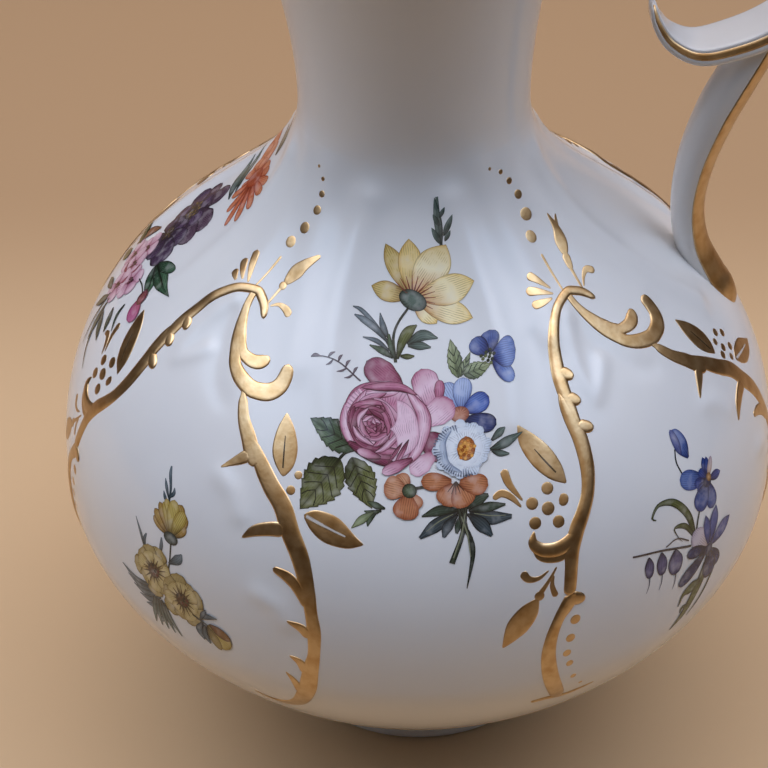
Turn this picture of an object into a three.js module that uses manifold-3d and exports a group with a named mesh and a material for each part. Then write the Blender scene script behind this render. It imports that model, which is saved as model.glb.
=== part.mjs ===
import * as THREE from "three";
import { mergeVertices } from "three/addons/utils/BufferGeometryUtils.js";
import Module from "manifold-3d";

// Driving dimensions in millimetres. The jug stands on z = 0, handle towards +X, beak towards -X.
const footRadius = 37.5;        // outside of the standing ring
const footHeight = 5;
const footRingWidth = 6;
const footTaper = 1.5;          // the ring is this much narrower where it meets the bowl
const bellyRadius = 80;         // widest part of the body
const bellyHeight = 70;         // height of the widest part
const bowlSpring = 37;          // how far the wall runs outwards off the foot
const bowlSlope = 50;           // degrees over the level where the wall leaves the foot
const bowlFullness = 17;        // upright stretch under the widest part
const shoulderFullness = 54;    // upright stretch over the widest part
const neckRadius = 22.9;        // narrowest part of the neck
const neckHeight = 157;
const neckSweep = 31.5;         // upright stretch under the narrowest part
const lipRadius = 38;
const lipHeight = 226;
const lipFlare = 21;            // height over which the lip turns outwards
const lipOpen = 9;              // outward run of that turn
const wall = 4;                 // porcelain wall
const beakReach = 13;           // the beak stands out this much further than the round lip
const beakRise = 9;             // and this much higher
const beakNarrow = 5;           // higher values give a narrower beak
const handleDepth = 7;          // handle section, white part, from the crease to the inner side
const handleBulge = 2.5;        // handle section, gilded part, over the crease
const handleWidth = 12.5;
const handleReach = 90;         // middle of the upper scroll at its furthest from the axis
const handleRise = 7;           // middle of the upper scroll over the lip, at its highest
const curlHeight = 165;         // middle of the curl at its lowest
const legWaist = 130;           // height where the lower scroll comes nearest to the axis
const legStandoff = 15.7;       // middle of the lower scroll off the wall at that height
const legFootHeight = 105;      // where the lower scroll runs out on the shoulder
const sprigHeight = 1.5;        // relief of the raised borders
const sprigWidth = 3.2;         // full width of the raised borders
const giltThickness = 0.5;
const giltBand = 3.5;           // height of the gilded edge on the lip
const jointGap = 0.3;           // slip joint between pieces
const skinGap = 0.25;           // gilding and relief over the wall
const turnSteps = 48;           // facets round the axis

const wasm = await Module();
wasm.setup();

const porcelain = new THREE.MeshStandardMaterial({ color: 0xe6e5e4, roughness: 0.12, metalness: 0 });
const gilding = new THREE.MeshStandardMaterial({ color: 0xb9893f, roughness: 0.25, metalness: 1 });

const point = (r, z) => new THREE.Vector2(r, z);

// Outer profile of the body, in three stretches from foot to lip
const bowlLean = Math.cos(THREE.MathUtils.degToRad(bowlSlope));
const bowlClimb = Math.sin(THREE.MathUtils.degToRad(bowlSlope));
const bowlCurve = new THREE.CubicBezierCurve(
  point(footRadius - footTaper, footHeight),
  point(footRadius - footTaper + bowlSpring * bowlLean, footHeight + bowlSpring * bowlClimb),
  point(bellyRadius, bellyHeight - bowlFullness),
  point(bellyRadius, bellyHeight),
);
const shoulderCurve = new THREE.CubicBezierCurve(
  point(bellyRadius, bellyHeight),
  point(bellyRadius, bellyHeight + shoulderFullness),
  point(neckRadius, neckHeight - neckSweep),
  point(neckRadius, neckHeight),
);
const lipCurve = new THREE.CubicBezierCurve(
  point(neckRadius, neckHeight),
  point(neckRadius, neckHeight + lipFlare),
  point(lipRadius - lipOpen, lipHeight - lipFlare),
  point(lipRadius, lipHeight),
);

// Direction of a stretch, exact at its upright ends
function direction(curve, t) {
  const along = point(0, 0);
  along.addScaledVector(curve.v1.clone().sub(curve.v0), (1 - t) * (1 - t));
  along.addScaledVector(curve.v2.clone().sub(curve.v1), 2 * (1 - t) * t);
  along.addScaledVector(curve.v3.clone().sub(curve.v2), t * t);
  return along.normalize();
}

// A point of a stretch, moved outwards along the wall's normal
function offsetPoint(curve, t, offset) {
  const place = curve.getPoint(t);
  const along = direction(curve, t);
  return point(place.x + along.y * offset, place.y - along.x * offset);
}

function offsetPoints(curve, steps, offset) {
  const points = [];
  for (let i = 0; i <= steps; i += 1) points.push(offsetPoint(curve, i / steps, offset));
  return points;
}

function turned(outline) {
  const shape = new THREE.LatheGeometry(outline, turnSteps);
  shape.rotateX(Math.PI / 2);
  shape.deleteAttribute("normal");
  shape.deleteAttribute("uv");
  return mergeVertices(shape, 1e-4);
}

function toSolid(geometry) {
  const places = geometry.attributes.position.array;
  const solid = new wasm.Manifold(new wasm.Mesh({
    numProp: 3,
    vertProperties: new Float32Array(places),
    triVerts: new Uint32Array(geometry.index.array),
  }));
  return solid;
}

function toGeometry(solid) {
  const mesh = solid.getMesh();
  const geometry = new THREE.BufferGeometry();
  geometry.setAttribute("position", new THREE.BufferAttribute(new Float32Array(mesh.vertProperties), 3));
  geometry.setIndex(new THREE.BufferAttribute(new Uint32Array(mesh.triVerts), 1));
  return geometry;
}

// Closed body from rings of points, with its ends filled from both sides inwards
function ringBody(rings) {
  const places = [];
  const faces = [];
  const count = rings[0].length;
  for (const ring of rings) {
    for (const p of ring) places.push(p.x, p.y, p.z);
  }
  for (let i = 0; i + 1 < rings.length; i += 1) {
    for (let j = 0; j < count; j += 1) {
      const a = i * count + j;
      const b = i * count + (j + 1) % count;
      faces.push(a, b, b + count, a, b + count, a + count);
    }
  }
  const last = (rings.length - 1) * count;
  let low = 0;
  let high = count - 1;
  while (low + 1 < high) {
    const next = (low + high) % 2 === (count - 1) % 2 ? low + 1 : high - 1;
    faces.push(low, high, next);
    faces.push(last + low, last + next, last + high);
    if (next === low + 1) low = next;
    else high = next;
  }
  const geometry = new THREE.BufferGeometry();
  geometry.setAttribute("position", new THREE.BufferAttribute(new Float32Array(places), 3));
  geometry.setIndex(faces);
  if (toSolid(geometry).volume() < 0) geometry.setIndex(faces.reverse());
  return geometry;
}

function piece(name, geometry, material) {
  geometry.computeVertexNormals();
  const mesh = new THREE.Mesh(geometry, material);
  mesh.name = name;
  return mesh;
}

// Radius and outward direction of the wall at a height
function wallAt(z) {
  const curve = z < bellyHeight ? bowlCurve : shoulderCurve;
  let low = 0;
  let high = 1;
  for (let i = 0; i < 40; i += 1) {
    const middle = (low + high) / 2;
    if (curve.getPoint(middle).y < z) low = middle;
    else high = middle;
  }
  const along = direction(curve, low);
  return { r: curve.getPoint(low).x, outR: along.y, outZ: -along.x };
}

function onWall(azimuth, z) {
  const a = THREE.MathUtils.degToRad(azimuth - 90);
  const spot = wallAt(z);
  return {
    place: new THREE.Vector3(spot.r * Math.cos(a), spot.r * Math.sin(a), z),
    out: new THREE.Vector3(spot.outR * Math.cos(a), spot.outR * Math.sin(a), spot.outZ),
  };
}

// Foot ring, flat on both ends
const footRing = turned([
  point(footRadius - footRingWidth, 0),
  point(footRadius - 0.8, 0),
  point(footRadius, 0.8),
  point(footRadius - footTaper, footHeight),
  point(footRadius - footRingWidth, footHeight),
  point(footRadius - footRingWidth, 0),
]);

// Lower half of the body with the floor of the jug
const bowlOuter = offsetPoints(bowlCurve, 10, 0);
const bowlInner = offsetPoints(bowlCurve, 7, -wall).reverse();
const floorHeight = footHeight + wall;
const bowlInnerWall = bowlInner.filter((p) => p.y > floorHeight + 1);
const bellyBowl = turned([
  point(0, footHeight),
  ...bowlOuter,
  ...bowlInnerWall,
  point(bowlInnerWall.at(-1).x * 0.8, floorHeight),
  point(0, floorHeight),
]);

// Upper half of the body up to the narrowest part of the neck
const shoulderOuter = offsetPoints(shoulderCurve, 13, 0);
const shoulderInner = offsetPoints(shoulderCurve, 9, -wall).reverse();
const shoulder = turned([...shoulderOuter, ...shoulderInner, shoulderOuter[0]]);

// The lip is turned round, then its -X side is drawn out and up into the beak
function drawBeak(geometry) {
  const places = geometry.attributes.position;
  for (let i = 0; i < places.count; i += 1) {
    const x = places.getX(i);
    const y = places.getY(i);
    const z = places.getZ(i);
    const share = Math.max(0, (z - neckHeight) / (lipHeight - neckHeight)) ** 2.5;
    const facing = ((1 - x / Math.hypot(x, y)) / 2) ** beakNarrow;
    const grow = 1 + share * facing * beakReach / Math.hypot(x, y);
    places.setXYZ(i, x * grow, y * (1 + (grow - 1) * 0.4), z + share * facing * beakRise);
  }
  return geometry;
}

const lipOuter = offsetPoints(lipCurve, 8, 0);
const lipInner = offsetPoints(lipCurve, 6, -wall).reverse();
const rimTop = point(
  (lipOuter.at(-1).x + lipInner[0].x) / 2 - 0.2,
  (lipOuter.at(-1).y + lipInner[0].y) / 2 + wall * 0.45,
);
const pouringLip = drawBeak(turned([...lipOuter, rimTop, ...lipInner, lipOuter[0]]));

// Gilded edge: a thin ring lying outside the top of the lip
const bandEnd = 0.985;
const bandStart = bandEnd - giltBand / (3 * Math.hypot(lipOpen, lipFlare));
const bandOutline = [
  offsetPoint(lipCurve, bandStart, skinGap),
  offsetPoint(lipCurve, bandStart, skinGap + giltThickness),
  offsetPoint(lipCurve, bandEnd, skinGap + giltThickness),
  offsetPoint(lipCurve, bandEnd, skinGap),
];
const giltLipBand = drawBeak(turned([...bandOutline, bandOutline[0]]));

// Outside of the whole body, grown by the slip joint, to seat the handle on
const bandCoat = skinGap + giltThickness + jointGap;
const coatTop = lipHeight + wall;
const bodyCoat = toSolid(turned([
  point(0, footHeight - jointGap),
  ...offsetPoints(bowlCurve, 10, jointGap),
  ...offsetPoints(shoulderCurve, 13, jointGap).slice(1),
  ...offsetPoints(lipCurve, 8, jointGap).slice(1, -1),
  offsetPoint(lipCurve, bandStart - 0.01, bandCoat),
  point(lipRadius + bandCoat, lipHeight - bandCoat),
  point(lipRadius + bandCoat, coatTop),
  point(0, coatTop),
]));

// Handle: both scrolls lie in the plane y = 0; n points to the gilded side
function handleFrames(path, sizes, steps) {
  const stations = path.map(([x, z]) => new THREE.Vector3(x, 0, z));
  const curve = new THREE.CatmullRomCurve3(stations, false, "centripetal");
  const frames = [];
  for (let i = 0; i <= steps; i += 1) {
    const t = i / steps;
    const along = curve.getTangent(t);
    const spot = t * (sizes.length - 1);
    const low = Math.min(Math.floor(spot), sizes.length - 2);
    frames.push({
      place: curve.getPoint(t),
      n: new THREE.Vector3(-along.z, 0, along.x),
      size: THREE.MathUtils.lerp(sizes[low], sizes[low + 1], spot - low),
    });
  }
  return frames;
}

function handleRing(frame, outline) {
  return outline.map(([n, b]) => {
    const p = frame.place.clone().addScaledVector(frame.n, n * frame.size);
    p.y += b * frame.size;
    return p;
  });
}

const crease = (handleDepth - handleBulge) / 2;
function bulgeArc(lift) {
  return [-1, -0.55, 0, 0.55, 1].map((s) => [crease + lift + handleBulge * (1 - s * s), s * handleWidth / 2]);
}
const innerArc = [30, 65, 90, 115, 150].map((angle) => {
  const a = THREE.MathUtils.degToRad(angle);
  return [crease - handleDepth * Math.sin(a), handleWidth / 2 * Math.cos(a)];
});
const whiteOutline = [...bulgeArc(0), ...innerArc];
const giltOutline = [...bulgeArc(skinGap), ...bulgeArc(skinGap + giltThickness).reverse()];

const handleTop = lipHeight + handleRise;
const loop = handleTop - curlHeight;
const upperPath = [
  [lipRadius - 7, lipHeight - 14],
  [lipRadius + 3, lipHeight - 4],
  [lipRadius + 13, handleTop - 3],
  [handleReach - 26, handleTop],
  [handleReach - 12, handleTop - loop * 0.075],
  [handleReach - 3, handleTop - loop * 0.22],
  [handleReach, curlHeight + loop * 0.6],
  [handleReach - 3, curlHeight + loop * 0.4],
  [handleReach - 11, curlHeight + loop * 0.19],
  [handleReach - 22, curlHeight + 4.5],
  [handleReach - 30, curlHeight + 1],
  [handleReach - 36, curlHeight],
  [handleReach - 41, curlHeight + 2.5],
  [handleReach - 44, curlHeight + 6],
  [handleReach - 45, curlHeight + 9],
];
const upperSizes = [1.1, 1, 0.95, 0.95, 0.97, 1, 1, 0.97, 0.92, 0.88, 0.8, 0.72, 0.55, 0.38, 0.22];
const legMiddle = wallAt(legWaist).r + legStandoff;
const lowerPath = [
  [handleReach - 22.3, curlHeight + 2],
  [handleReach - 26.7, curlHeight - 6],
  [legMiddle + 3, legWaist + 20],
  [legMiddle + 0.4, legWaist + 9.5],
  [legMiddle, legWaist],
  [legMiddle + 2.2, legWaist - 10],
  [wallAt(legFootHeight + 7).r + 0.3, legFootHeight + 7],
  [wallAt(legFootHeight).r + 0.6, legFootHeight],
];
const lowerSizes = [1.15, 1.05, 1, 0.88, 0.76, 0.85, 0.8, 0.35];

const upperFrames = handleFrames(upperPath, upperSizes, 34);
const lowerFrames = handleFrames(lowerPath, lowerSizes, 24);
const upperSwept = ringBody(upperFrames.map((f) => handleRing(f, whiteOutline)));
const lowerSwept = ringBody(lowerFrames.map((f) => handleRing(f, whiteOutline)));

// The leg is cut clear of the upper scroll and its gilding by a coat of the same sweep
const coatGrow = 1 + 2.2 * (skinGap + giltThickness + jointGap) / handleDepth;
const upperCoat = toSolid(ringBody(upperFrames.map((f) => {
  const grown = { ...f, size: f.size * coatGrow };
  return handleRing(grown, whiteOutline);
})));
const handleUpperScroll = toGeometry(toSolid(upperSwept).subtract(bodyCoat));
const handleLowerScroll = toGeometry(toSolid(lowerSwept).subtract(bodyCoat).subtract(upperCoat));
const upperGilt = toSolid(ringBody(upperFrames.map((f) => handleRing(f, giltOutline))));
const lowerGilt = toSolid(ringBody(lowerFrames.map((f) => handleRing(f, giltOutline))));
const giltUpperFace = toGeometry(upperGilt.subtract(bodyCoat));
const giltLowerFace = toGeometry(lowerGilt.subtract(bodyCoat).subtract(upperCoat));

// Raised borders: [azimuth in degrees from the panel's middle, height, share of the full width]
const domeOutline = [[0.5, 0], [0.3, 0.75], [0, 1], [-0.3, 0.75], [-0.5, 0]];
function sprig(path, steps, turn) {
  const stations = path.map(([a, z, w]) => new THREE.Vector3(a, z, w * 10));
  const curve = new THREE.CatmullRomCurve3(stations, false, "centripetal");
  const rings = [];
  for (let i = 0; i <= steps; i += 1) {
    const here = curve.getPoint(i / steps);
    const ahead = curve.getPoint(Math.min(1, i / steps + 0.01));
    const behind = curve.getPoint(Math.max(0, i / steps - 0.01));
    const { place, out } = onWall(here.x + turn, here.y);
    const along = onWall(ahead.x + turn, ahead.y).place;
    along.sub(onWall(behind.x + turn, behind.y).place).normalize();
    const side = new THREE.Vector3().crossVectors(along, out).normalize();
    const share = Math.max(0.12, here.z / 10);
    rings.push(domeOutline.map(([s, h]) => place.clone()
      .addScaledVector(side, s * share * sprigWidth)
      .addScaledVector(out, skinGap + h * sprigHeight * Math.sqrt(share))));
  }
  return toSolid(ringBody(rings));
}

const crescentPaths = [
  [[-47.8, 126.6, 0.4], [-46.8, 125.6, 0.55], [-45.3, 124.6, 0.6], [-42, 121.8, 0.75], [-38.4, 119.8, 0.9],
    [-34.3, 118.6, 0.95], [-30.7, 118.9, 0.7], [-28.8, 120.5, 0.4], [-28.6, 122, 0.2]],
  [[-41, 121.6, 0.4], [-37.5, 121.2, 0.6], [-35.2, 121.3, 0.45], [-34.5, 122.6, 0.2]],
  [[-35.6, 118.6, 0.35], [-34, 115.5, 0.5], [-29.5, 111.2, 0.8], [-23.8, 106.8, 0.9], [-18.8, 100.2, 1],
    [-15.6, 92, 0.85], [-14.5, 84, 0.85], [-14.6, 75.2, 0.8], [-15.6, 67.5, 0.85], [-18, 60.5, 0.6],
    [-21.5, 57.5, 0.4], [-25, 58, 0.25]],
  [[-28, 110, 0.5], [-30.5, 108.6, 0.35], [-32.7, 107.6, 0.2]],
  [[-19.4, 100, 0.5], [-23.5, 100.7, 0.45], [-26, 99.7, 0.4]],
  [[-15.8, 90, 0.5], [-18.4, 93.1, 0.4], [-20.6, 94.6, 0.25]],
];
const crescentSteps = [13, 5, 18, 3, 4, 4];
const knottedPaths = [
  [[50, 126.8, 0.3], [47.5, 128.3, 0.5], [44, 128.9, 0.55], [38.5, 128.1, 0.6], [34.4, 126, 0.65],
    [31.7, 123.4, 0.65], [30, 120, 0.75], [29.4, 114.8, 0.95], [29.3, 110, 0.9], [27.6, 105.2, 0.9],
    [24.2, 99.8, 0.9], [22.4, 93.9, 0.85], [21.6, 88, 0.8], [19.6, 83, 0.8], [18.5, 76, 0.8],
    [18.8, 69, 0.75], [21, 61.5, 0.5], [26, 60.5, 0.2]],
  [[23.5, 98.4, 0.6], [20.6, 98, 0.6], [18.4, 98.4, 0.5], [17.4, 100.8, 0.3]],
  [[30.2, 120.4, 0.45], [31.8, 120.5, 0.5], [33.4, 120.7, 0.3]],
  [[29.7, 117, 0.45], [31.2, 117.1, 0.5], [32.8, 117.2, 0.3]],
  [[29.5, 113, 0.45], [31, 113.1, 0.5], [32.6, 113.3, 0.3]],
];
const knottedSteps = [26, 4, 2, 2, 2];

function border(paths, steps, turn) {
  const bodies = paths.map((path, i) => sprig(path, steps[i], turn));
  return toGeometry(bodies.reduce((whole, body) => whole.add(body)));
}

const jug = new THREE.Group();
jug.name = "porcelain_jug";
const body = new THREE.Group();
body.name = "body";
const handle = new THREE.Group();
handle.name = "handle";
const borders = new THREE.Group();
borders.name = "raised_borders";
jug.add(body, handle, borders);

body.add(
  piece("foot_ring", footRing, porcelain),
  piece("belly_bowl", bellyBowl, porcelain),
  piece("shoulder", shoulder, porcelain),
  piece("pouring_lip", pouringLip, porcelain),
  piece("gilt_lip_band", giltLipBand, gilding),
);
handle.add(
  piece("handle_upper_scroll", handleUpperScroll, porcelain),
  piece("handle_lower_scroll", handleLowerScroll, porcelain),
  piece("gilt_upper_face", giltUpperFace, gilding),
  piece("gilt_lower_face", giltLowerFace, gilding),
);
for (const [side, turn] of [["front", 0], ["handle_side", 90], ["back", 180], ["beak_side", 270]]) {
  borders.add(
    piece(`crescent_scroll_${side}`, border(crescentPaths, crescentSteps, turn), gilding),
    piece(`knotted_scroll_${side}`, border(knottedPaths, knottedSteps, turn), gilding),
  );
}

// The box of the whole jug is centred on the origin's upright line
const bounds = new THREE.Box3().setFromObject(jug);
jug.position.x = -(bounds.min.x + bounds.max.x) / 2;
jug.updateMatrixWorld(true);

export default jug;
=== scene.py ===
import math

import bmesh
import bpy
import numpy as np
from mathutils import Matrix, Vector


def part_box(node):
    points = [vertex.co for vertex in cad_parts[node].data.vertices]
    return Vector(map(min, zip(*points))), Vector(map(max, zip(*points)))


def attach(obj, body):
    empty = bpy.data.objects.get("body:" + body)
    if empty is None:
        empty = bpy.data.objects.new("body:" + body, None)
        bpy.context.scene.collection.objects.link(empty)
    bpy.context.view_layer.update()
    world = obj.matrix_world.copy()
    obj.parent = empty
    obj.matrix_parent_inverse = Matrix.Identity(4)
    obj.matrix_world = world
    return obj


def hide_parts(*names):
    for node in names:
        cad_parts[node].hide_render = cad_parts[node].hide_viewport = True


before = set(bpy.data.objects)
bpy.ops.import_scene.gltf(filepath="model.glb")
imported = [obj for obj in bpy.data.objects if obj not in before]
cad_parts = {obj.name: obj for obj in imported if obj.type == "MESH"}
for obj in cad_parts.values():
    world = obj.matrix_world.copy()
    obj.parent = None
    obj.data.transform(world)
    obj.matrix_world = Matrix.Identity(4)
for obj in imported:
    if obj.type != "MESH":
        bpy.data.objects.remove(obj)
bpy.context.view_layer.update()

scene = bpy.context.scene
scene.view_settings.view_transform = "Standard"

mm = 0.001
footLow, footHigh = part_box("foot_ring")
axisX = (footLow[0] + footHigh[0]) / 2  # the jug's axis stands a little off the frame's origin
axis = np.array([axisX, 0, 0])


# sRGB code to linear colour
def linearColour(code):
    parts = [int(code[i:i + 2], 16) / 255 for i in (1, 3, 5)]
    return tuple(p / 12.92 if p <= 0.04045 else ((p + 0.055) / 1.055) ** 2.4 for p in parts) + (1.0,)


# One node with its settings and links; stops are the two of a colour ramp
def addNode(tree, kind, inputs=(), stops=(), **settings):
    node = tree.nodes.new(kind)
    for key, value in settings.items():
        setattr(node, key, value)
    for k, (place, code) in enumerate(stops):
        node.color_ramp.elements[k].position = place
        node.color_ramp.elements[k].color = linearColour(code)
    for key, value in dict(inputs).items():
        if isinstance(value, bpy.types.NodeSocket):
            tree.links.new(value, node.inputs[key])
        else:
            node.inputs[key].default_value = value
    return node


def clearTree(owner):
    owner.use_nodes = True
    owner.node_tree.nodes.clear()
    return owner.node_tree


def newMaterial(name):
    material = bpy.data.materials.new(name)
    return material, clearTree(material)


def makeMesh(name, points, faces, smooth=True):
    mesh = bpy.data.meshes.new(name)
    mesh.from_pydata([tuple(p) for p in points], [], [tuple(f) for f in faces])
    mesh.polygons.foreach_set("use_smooth", [smooth] * len(mesh.polygons))
    mesh.update()
    return mesh


def placeObject(name, mesh, material):
    piece = bpy.data.objects.new(name, mesh)
    scene.collection.objects.link(piece)
    mesh.materials.clear()
    mesh.materials.append(material)
    return piece


# Quads between the points of a grid; closed joins the last column to the first
def gridFaces(rows, columns, closed=False, start=0):
    faces = []
    for i in range(rows - 1):
        for j in range(columns if closed else columns - 1):
            a = start + i * columns + j
            b = start + i * columns + (j + 1) % columns
            faces.append((a, b, b + columns, a + columns))
    return faces


# Outline of the body in millimetres: radius and height of each stretch's four curve handles
bodyShape = {
    "bowl": ((36, 5), (59.8, 33.3), (80, 53), (80, 70)),
    "shoulder": ((80, 70), (80, 124), (22.9, 125.5), (22.9, 157)),
    "lip": ((22.9, 157), (22.9, 178), (29, 205), (38, 226)),
    "samples": {"bowl": 500, "shoulder": 700, "lip": 500},
    "wall": 4.0, "rimRise": 1.9,
    "beakReach": 13.0, "beakRise": 9.0, "beakNarrow": 5.0, "beakCurve": 2.5, "beakSide": 0.4,
    "around": 360,
    "coarse": 2.2, "fine": 0.9, "fineFrom": 55.0, "fineTo": 153.0,  # rows are finer where the relief lies
    "innerRows": 30, "innerFrom": 11.0,
    "underside": (0.97, 0.6, 0.3),  # rings inside the foot, as shares of its radius
    "floor": ((0.85, 9.6), (0.55, 9.0), (0.25, 9.0)),  # rings of the jug's floor: share of the radius, height
}


# Points of a cubic curve with four handles
def curvePoints(handles, count):
    t = np.linspace(0, 1, count)[:, None]
    a, b, c, d = [np.array(h, float) for h in handles]
    return (1 - t) ** 3 * a + 3 * (1 - t) ** 2 * t * b + 3 * (1 - t) * t ** 2 * c + t ** 3 * d


stretches = [curvePoints(bodyShape[key], count) for key, count in bodyShape["samples"].items()]
outline = np.vstack([stretches[0][:-1], stretches[1][:-1], stretches[2]])
steps = np.hypot(*np.diff(outline, axis=0).T)
wallLength = np.concatenate([[0], np.cumsum(steps)])  # measured up the wall from the foot
slope = np.gradient(outline, wallLength, axis=0)
slope /= np.hypot(slope[:, 0], slope[:, 1])[:, None]


def lengthAt(height):
    return np.interp(height, outline[:, 1], wallLength)


def radiusAt(length):
    return np.interp(length, wallLength, outline[:, 0])


# White relief under the glaze: soft ridges along the borders and flutes towards the neck, one quarter of the girth.
# Each ridge has stations of azimuth in degrees from the middle of a flower panel and height in millimetres.
relief = {
    "ridges": [
        {"rise": 0.15, "spread": 2.3, "stations": ((-50, 128.4), (-46, 125.5), (-41, 121), (-35, 118), (-29, 111.5),
                                                   (-22, 105.5), (-18, 99), (-15, 89), (-14.6, 76), (-16, 67),
                                                   (-20, 57))},
        {"rise": 0.15, "spread": 2.3, "stations": ((44, 129), (38, 127.8), (33, 125), (30, 119.5), (29.3, 112),
                                                   (27.5, 105), (24, 99.5), (22, 91), (19.5, 83.5), (18.3, 75),
                                                   (19.5, 64))},
        {"rise": 0.45, "spread": 2.5, "stations": ((-43, 149), (-40.7, 143), (-34.8, 135.3), (-29.4, 128.1),
                                                   (-26.5, 123))},
        {"rise": 0.8, "spread": 2.3, "stations": ((-20, 146), (-21.5, 138.9), (-21.9, 132.8), (-20.6, 127.4),
                                                  (-18, 121.5), (-14, 115))},
        {"rise": 0.5, "spread": 2.4, "stations": ((30, 151), (33.3, 146.3), (35.9, 138.6), (35.8, 132.1),
                                                  (33.5, 125.5))},
        {"rise": 0.75, "spread": 2.2, "stations": ((16, 146), (19, 138), (20.5, 131), (20, 124), (17, 117))},
        {"rise": 0.4, "spread": 1.1, "stations": ((39.7, 126.3), (36.6, 123.3), (35.2, 120.8), (35, 118.3),
                                                  (36, 116.4), (38.6, 118), (41.5, 120))},
        {"rise": 0.45, "spread": 1.5, "stations": ((-33, 106), (-30, 104.5), (-28, 101.5))},
        {"rise": 0.45, "spread": 1.5, "stations": ((-23, 88.5), (-20, 87), (-18.5, 84))},
        {"rise": -0.3, "spread": 4.5, "stations": ((45, 121), (46, 113), (47, 105))},  # from here on, hollows
        {"rise": -0.22, "spread": 1.4, "stations": ((-49.5, 125.2), (-48.1, 123.2), (-46.7, 121.2), (-45.3, 119.6),
                                                    (-42.5, 116.9), (-39, 115.4))},
        {"rise": -0.22, "spread": 1.4, "stations": ((28.2, 125.4), (26.6, 121), (25.8, 115), (24.9, 108.5),
                                                    (22.6, 104.4))},
    ],
}


# Height of the relief in millimetres
def ridgeHeight(azimuth, length):
    shape = np.broadcast(azimuth, length).shape
    azimuth = np.broadcast_to(azimuth, shape).ravel()
    length = np.broadcast_to(length, shape).ravel()
    girth = radiusAt(length) * math.pi / 180
    total = np.zeros(azimuth.size)
    for ridge in relief["ridges"]:
        a, z = np.array(ridge["stations"], float).T
        s = lengthAt(z)
        middle = (a.min() + a.max()) / 2
        local = (azimuth - middle + 45) % 90 - 45 + middle  # the ornament repeats every quarter turn
        nearest = np.full(azimuth.size, 1e9)
        for k in range(len(a) - 1):
            dx, ds = (a[k + 1] - a[k]) * girth, s[k + 1] - s[k]
            px, ps = (local - a[k]) * girth, length - s[k]
            t = np.clip((px * dx + ps * ds) / (dx * dx + ds * ds + 1e-9), 0, 1)
            nearest = np.minimum(nearest, np.hypot(px - t * dx, ps - t * ds))
        total += ridge["rise"] * np.exp(-nearest ** 2 / (2 * ridge["spread"] ** 2))
    return total.reshape(shape)


# Points over the glazed wall, lift in millimetres; the result is in metres around the jug's own axis
def wallPoints(azimuth, length, lift=0.0):
    azimuth, length = np.broadcast_arrays(np.asarray(azimuth, float), np.asarray(length, float))
    r = radiusAt(length)
    z = np.interp(length, wallLength, outline[:, 1])
    alongR = np.interp(length, wallLength, slope[:, 0])
    alongZ = np.interp(length, wallLength, slope[:, 1])
    out = lift + ridgeHeight(azimuth, length)
    r, z = r + alongZ * out, z - alongR * out
    angle = np.radians(azimuth - 90)
    x, y = r * np.cos(angle), r * np.sin(angle)
    low, high = bodyShape["lip"][0][1], bodyShape["lip"][3][1]
    share = np.clip((z - low) / (high - low), 0, None) ** bodyShape["beakCurve"]
    facing = ((1 - np.cos(angle)) / 2) ** bodyShape["beakNarrow"]
    grow = share * facing * bodyShape["beakReach"] / r
    x, y = x * (1 + grow), y * (1 + grow * bodyShape["beakSide"])
    return np.stack([x, y, z + share * facing * bodyShape["beakRise"]], -1) * mm


def wallNormals(azimuth, length):
    step = 0.05
    across = wallPoints(azimuth + step, length) - wallPoints(azimuth - step, length)
    upward = wallPoints(azimuth, length + step) - wallPoints(azimuth, length - step)
    normal = np.cross(across, upward)
    return normal / np.linalg.norm(normal, axis=-1, keepdims=True)


# Hard-paste porcelain, cast and glazed: cool white, glassy, with faint waves in the glaze and warmer tones in places
porcelainLook = {
    "name": "Hard-paste porcelain, cast and glazed", "tones": ((0.3, "#E4E3E4"), (0.7, "#ECEBEA")),
    "cloud": 45.455, "grain": 16.667, "grainDetail": 1.0,  # spans of the tones and of the waves in millimetres
    "bump": 0.04, "bumpDepth": 1.0, "glossBy": "grain", "gloss": (0.05, 0.1), "surface": {"IOR": 1.5},
}
# Bright gold, painted on the glaze, fired and burnished: warm, soft mirror with brush-thin places
giltLook = {
    "name": "Bright gold, fired on glaze and burnished", "tones": ((0.3, "#B09065"), (0.62, "#C6AB84")),
    "cloud": 2.381, "grain": 0.6667, "grainDetail": 2.0,  # thin places and brush marks in millimetres
    "bump": 0.12, "bumpDepth": 0.2, "glossBy": "cloud", "gloss": (0.25, 0.35), "surface": {"Metallic": 1.0},
}


def firedMaterial(look):
    material, tree = newMaterial(look["name"])
    place = addNode(tree, "ShaderNodeTexCoord")
    cloud = addNode(tree, "ShaderNodeTexNoise", {
        "Vector": place.outputs["Object"], "Scale": 1 / (look["cloud"] * mm), "Detail": 3.0})
    grain = addNode(tree, "ShaderNodeTexNoise", {
        "Vector": place.outputs["Object"], "Scale": 1 / (look["grain"] * mm), "Detail": look["grainDetail"]})
    tone = addNode(tree, "ShaderNodeValToRGB", {"Fac": cloud.outputs["Fac"]}, look["tones"])
    varied = {"cloud": cloud, "grain": grain}[look["glossBy"]]
    gloss = addNode(tree, "ShaderNodeMapRange", {
        "Value": varied.outputs["Fac"], "To Min": look["gloss"][0], "To Max": look["gloss"][1]})
    bump = addNode(tree, "ShaderNodeBump", {
        "Height": grain.outputs["Fac"], "Strength": look["bump"], "Distance": look["bumpDepth"] * mm})
    shader = addNode(tree, "ShaderNodeBsdfPrincipled", {
        "Base Color": tone.outputs["Color"], "Roughness": gloss.outputs["Result"], "Normal": bump.outputs["Normal"],
        **look["surface"]})
    addNode(tree, "ShaderNodeOutputMaterial", {"Surface": shader.outputs["BSDF"]})
    return material


porcelain = firedMaterial(porcelainLook)
gilt = firedMaterial(giltLook)
print("materials made")


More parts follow.
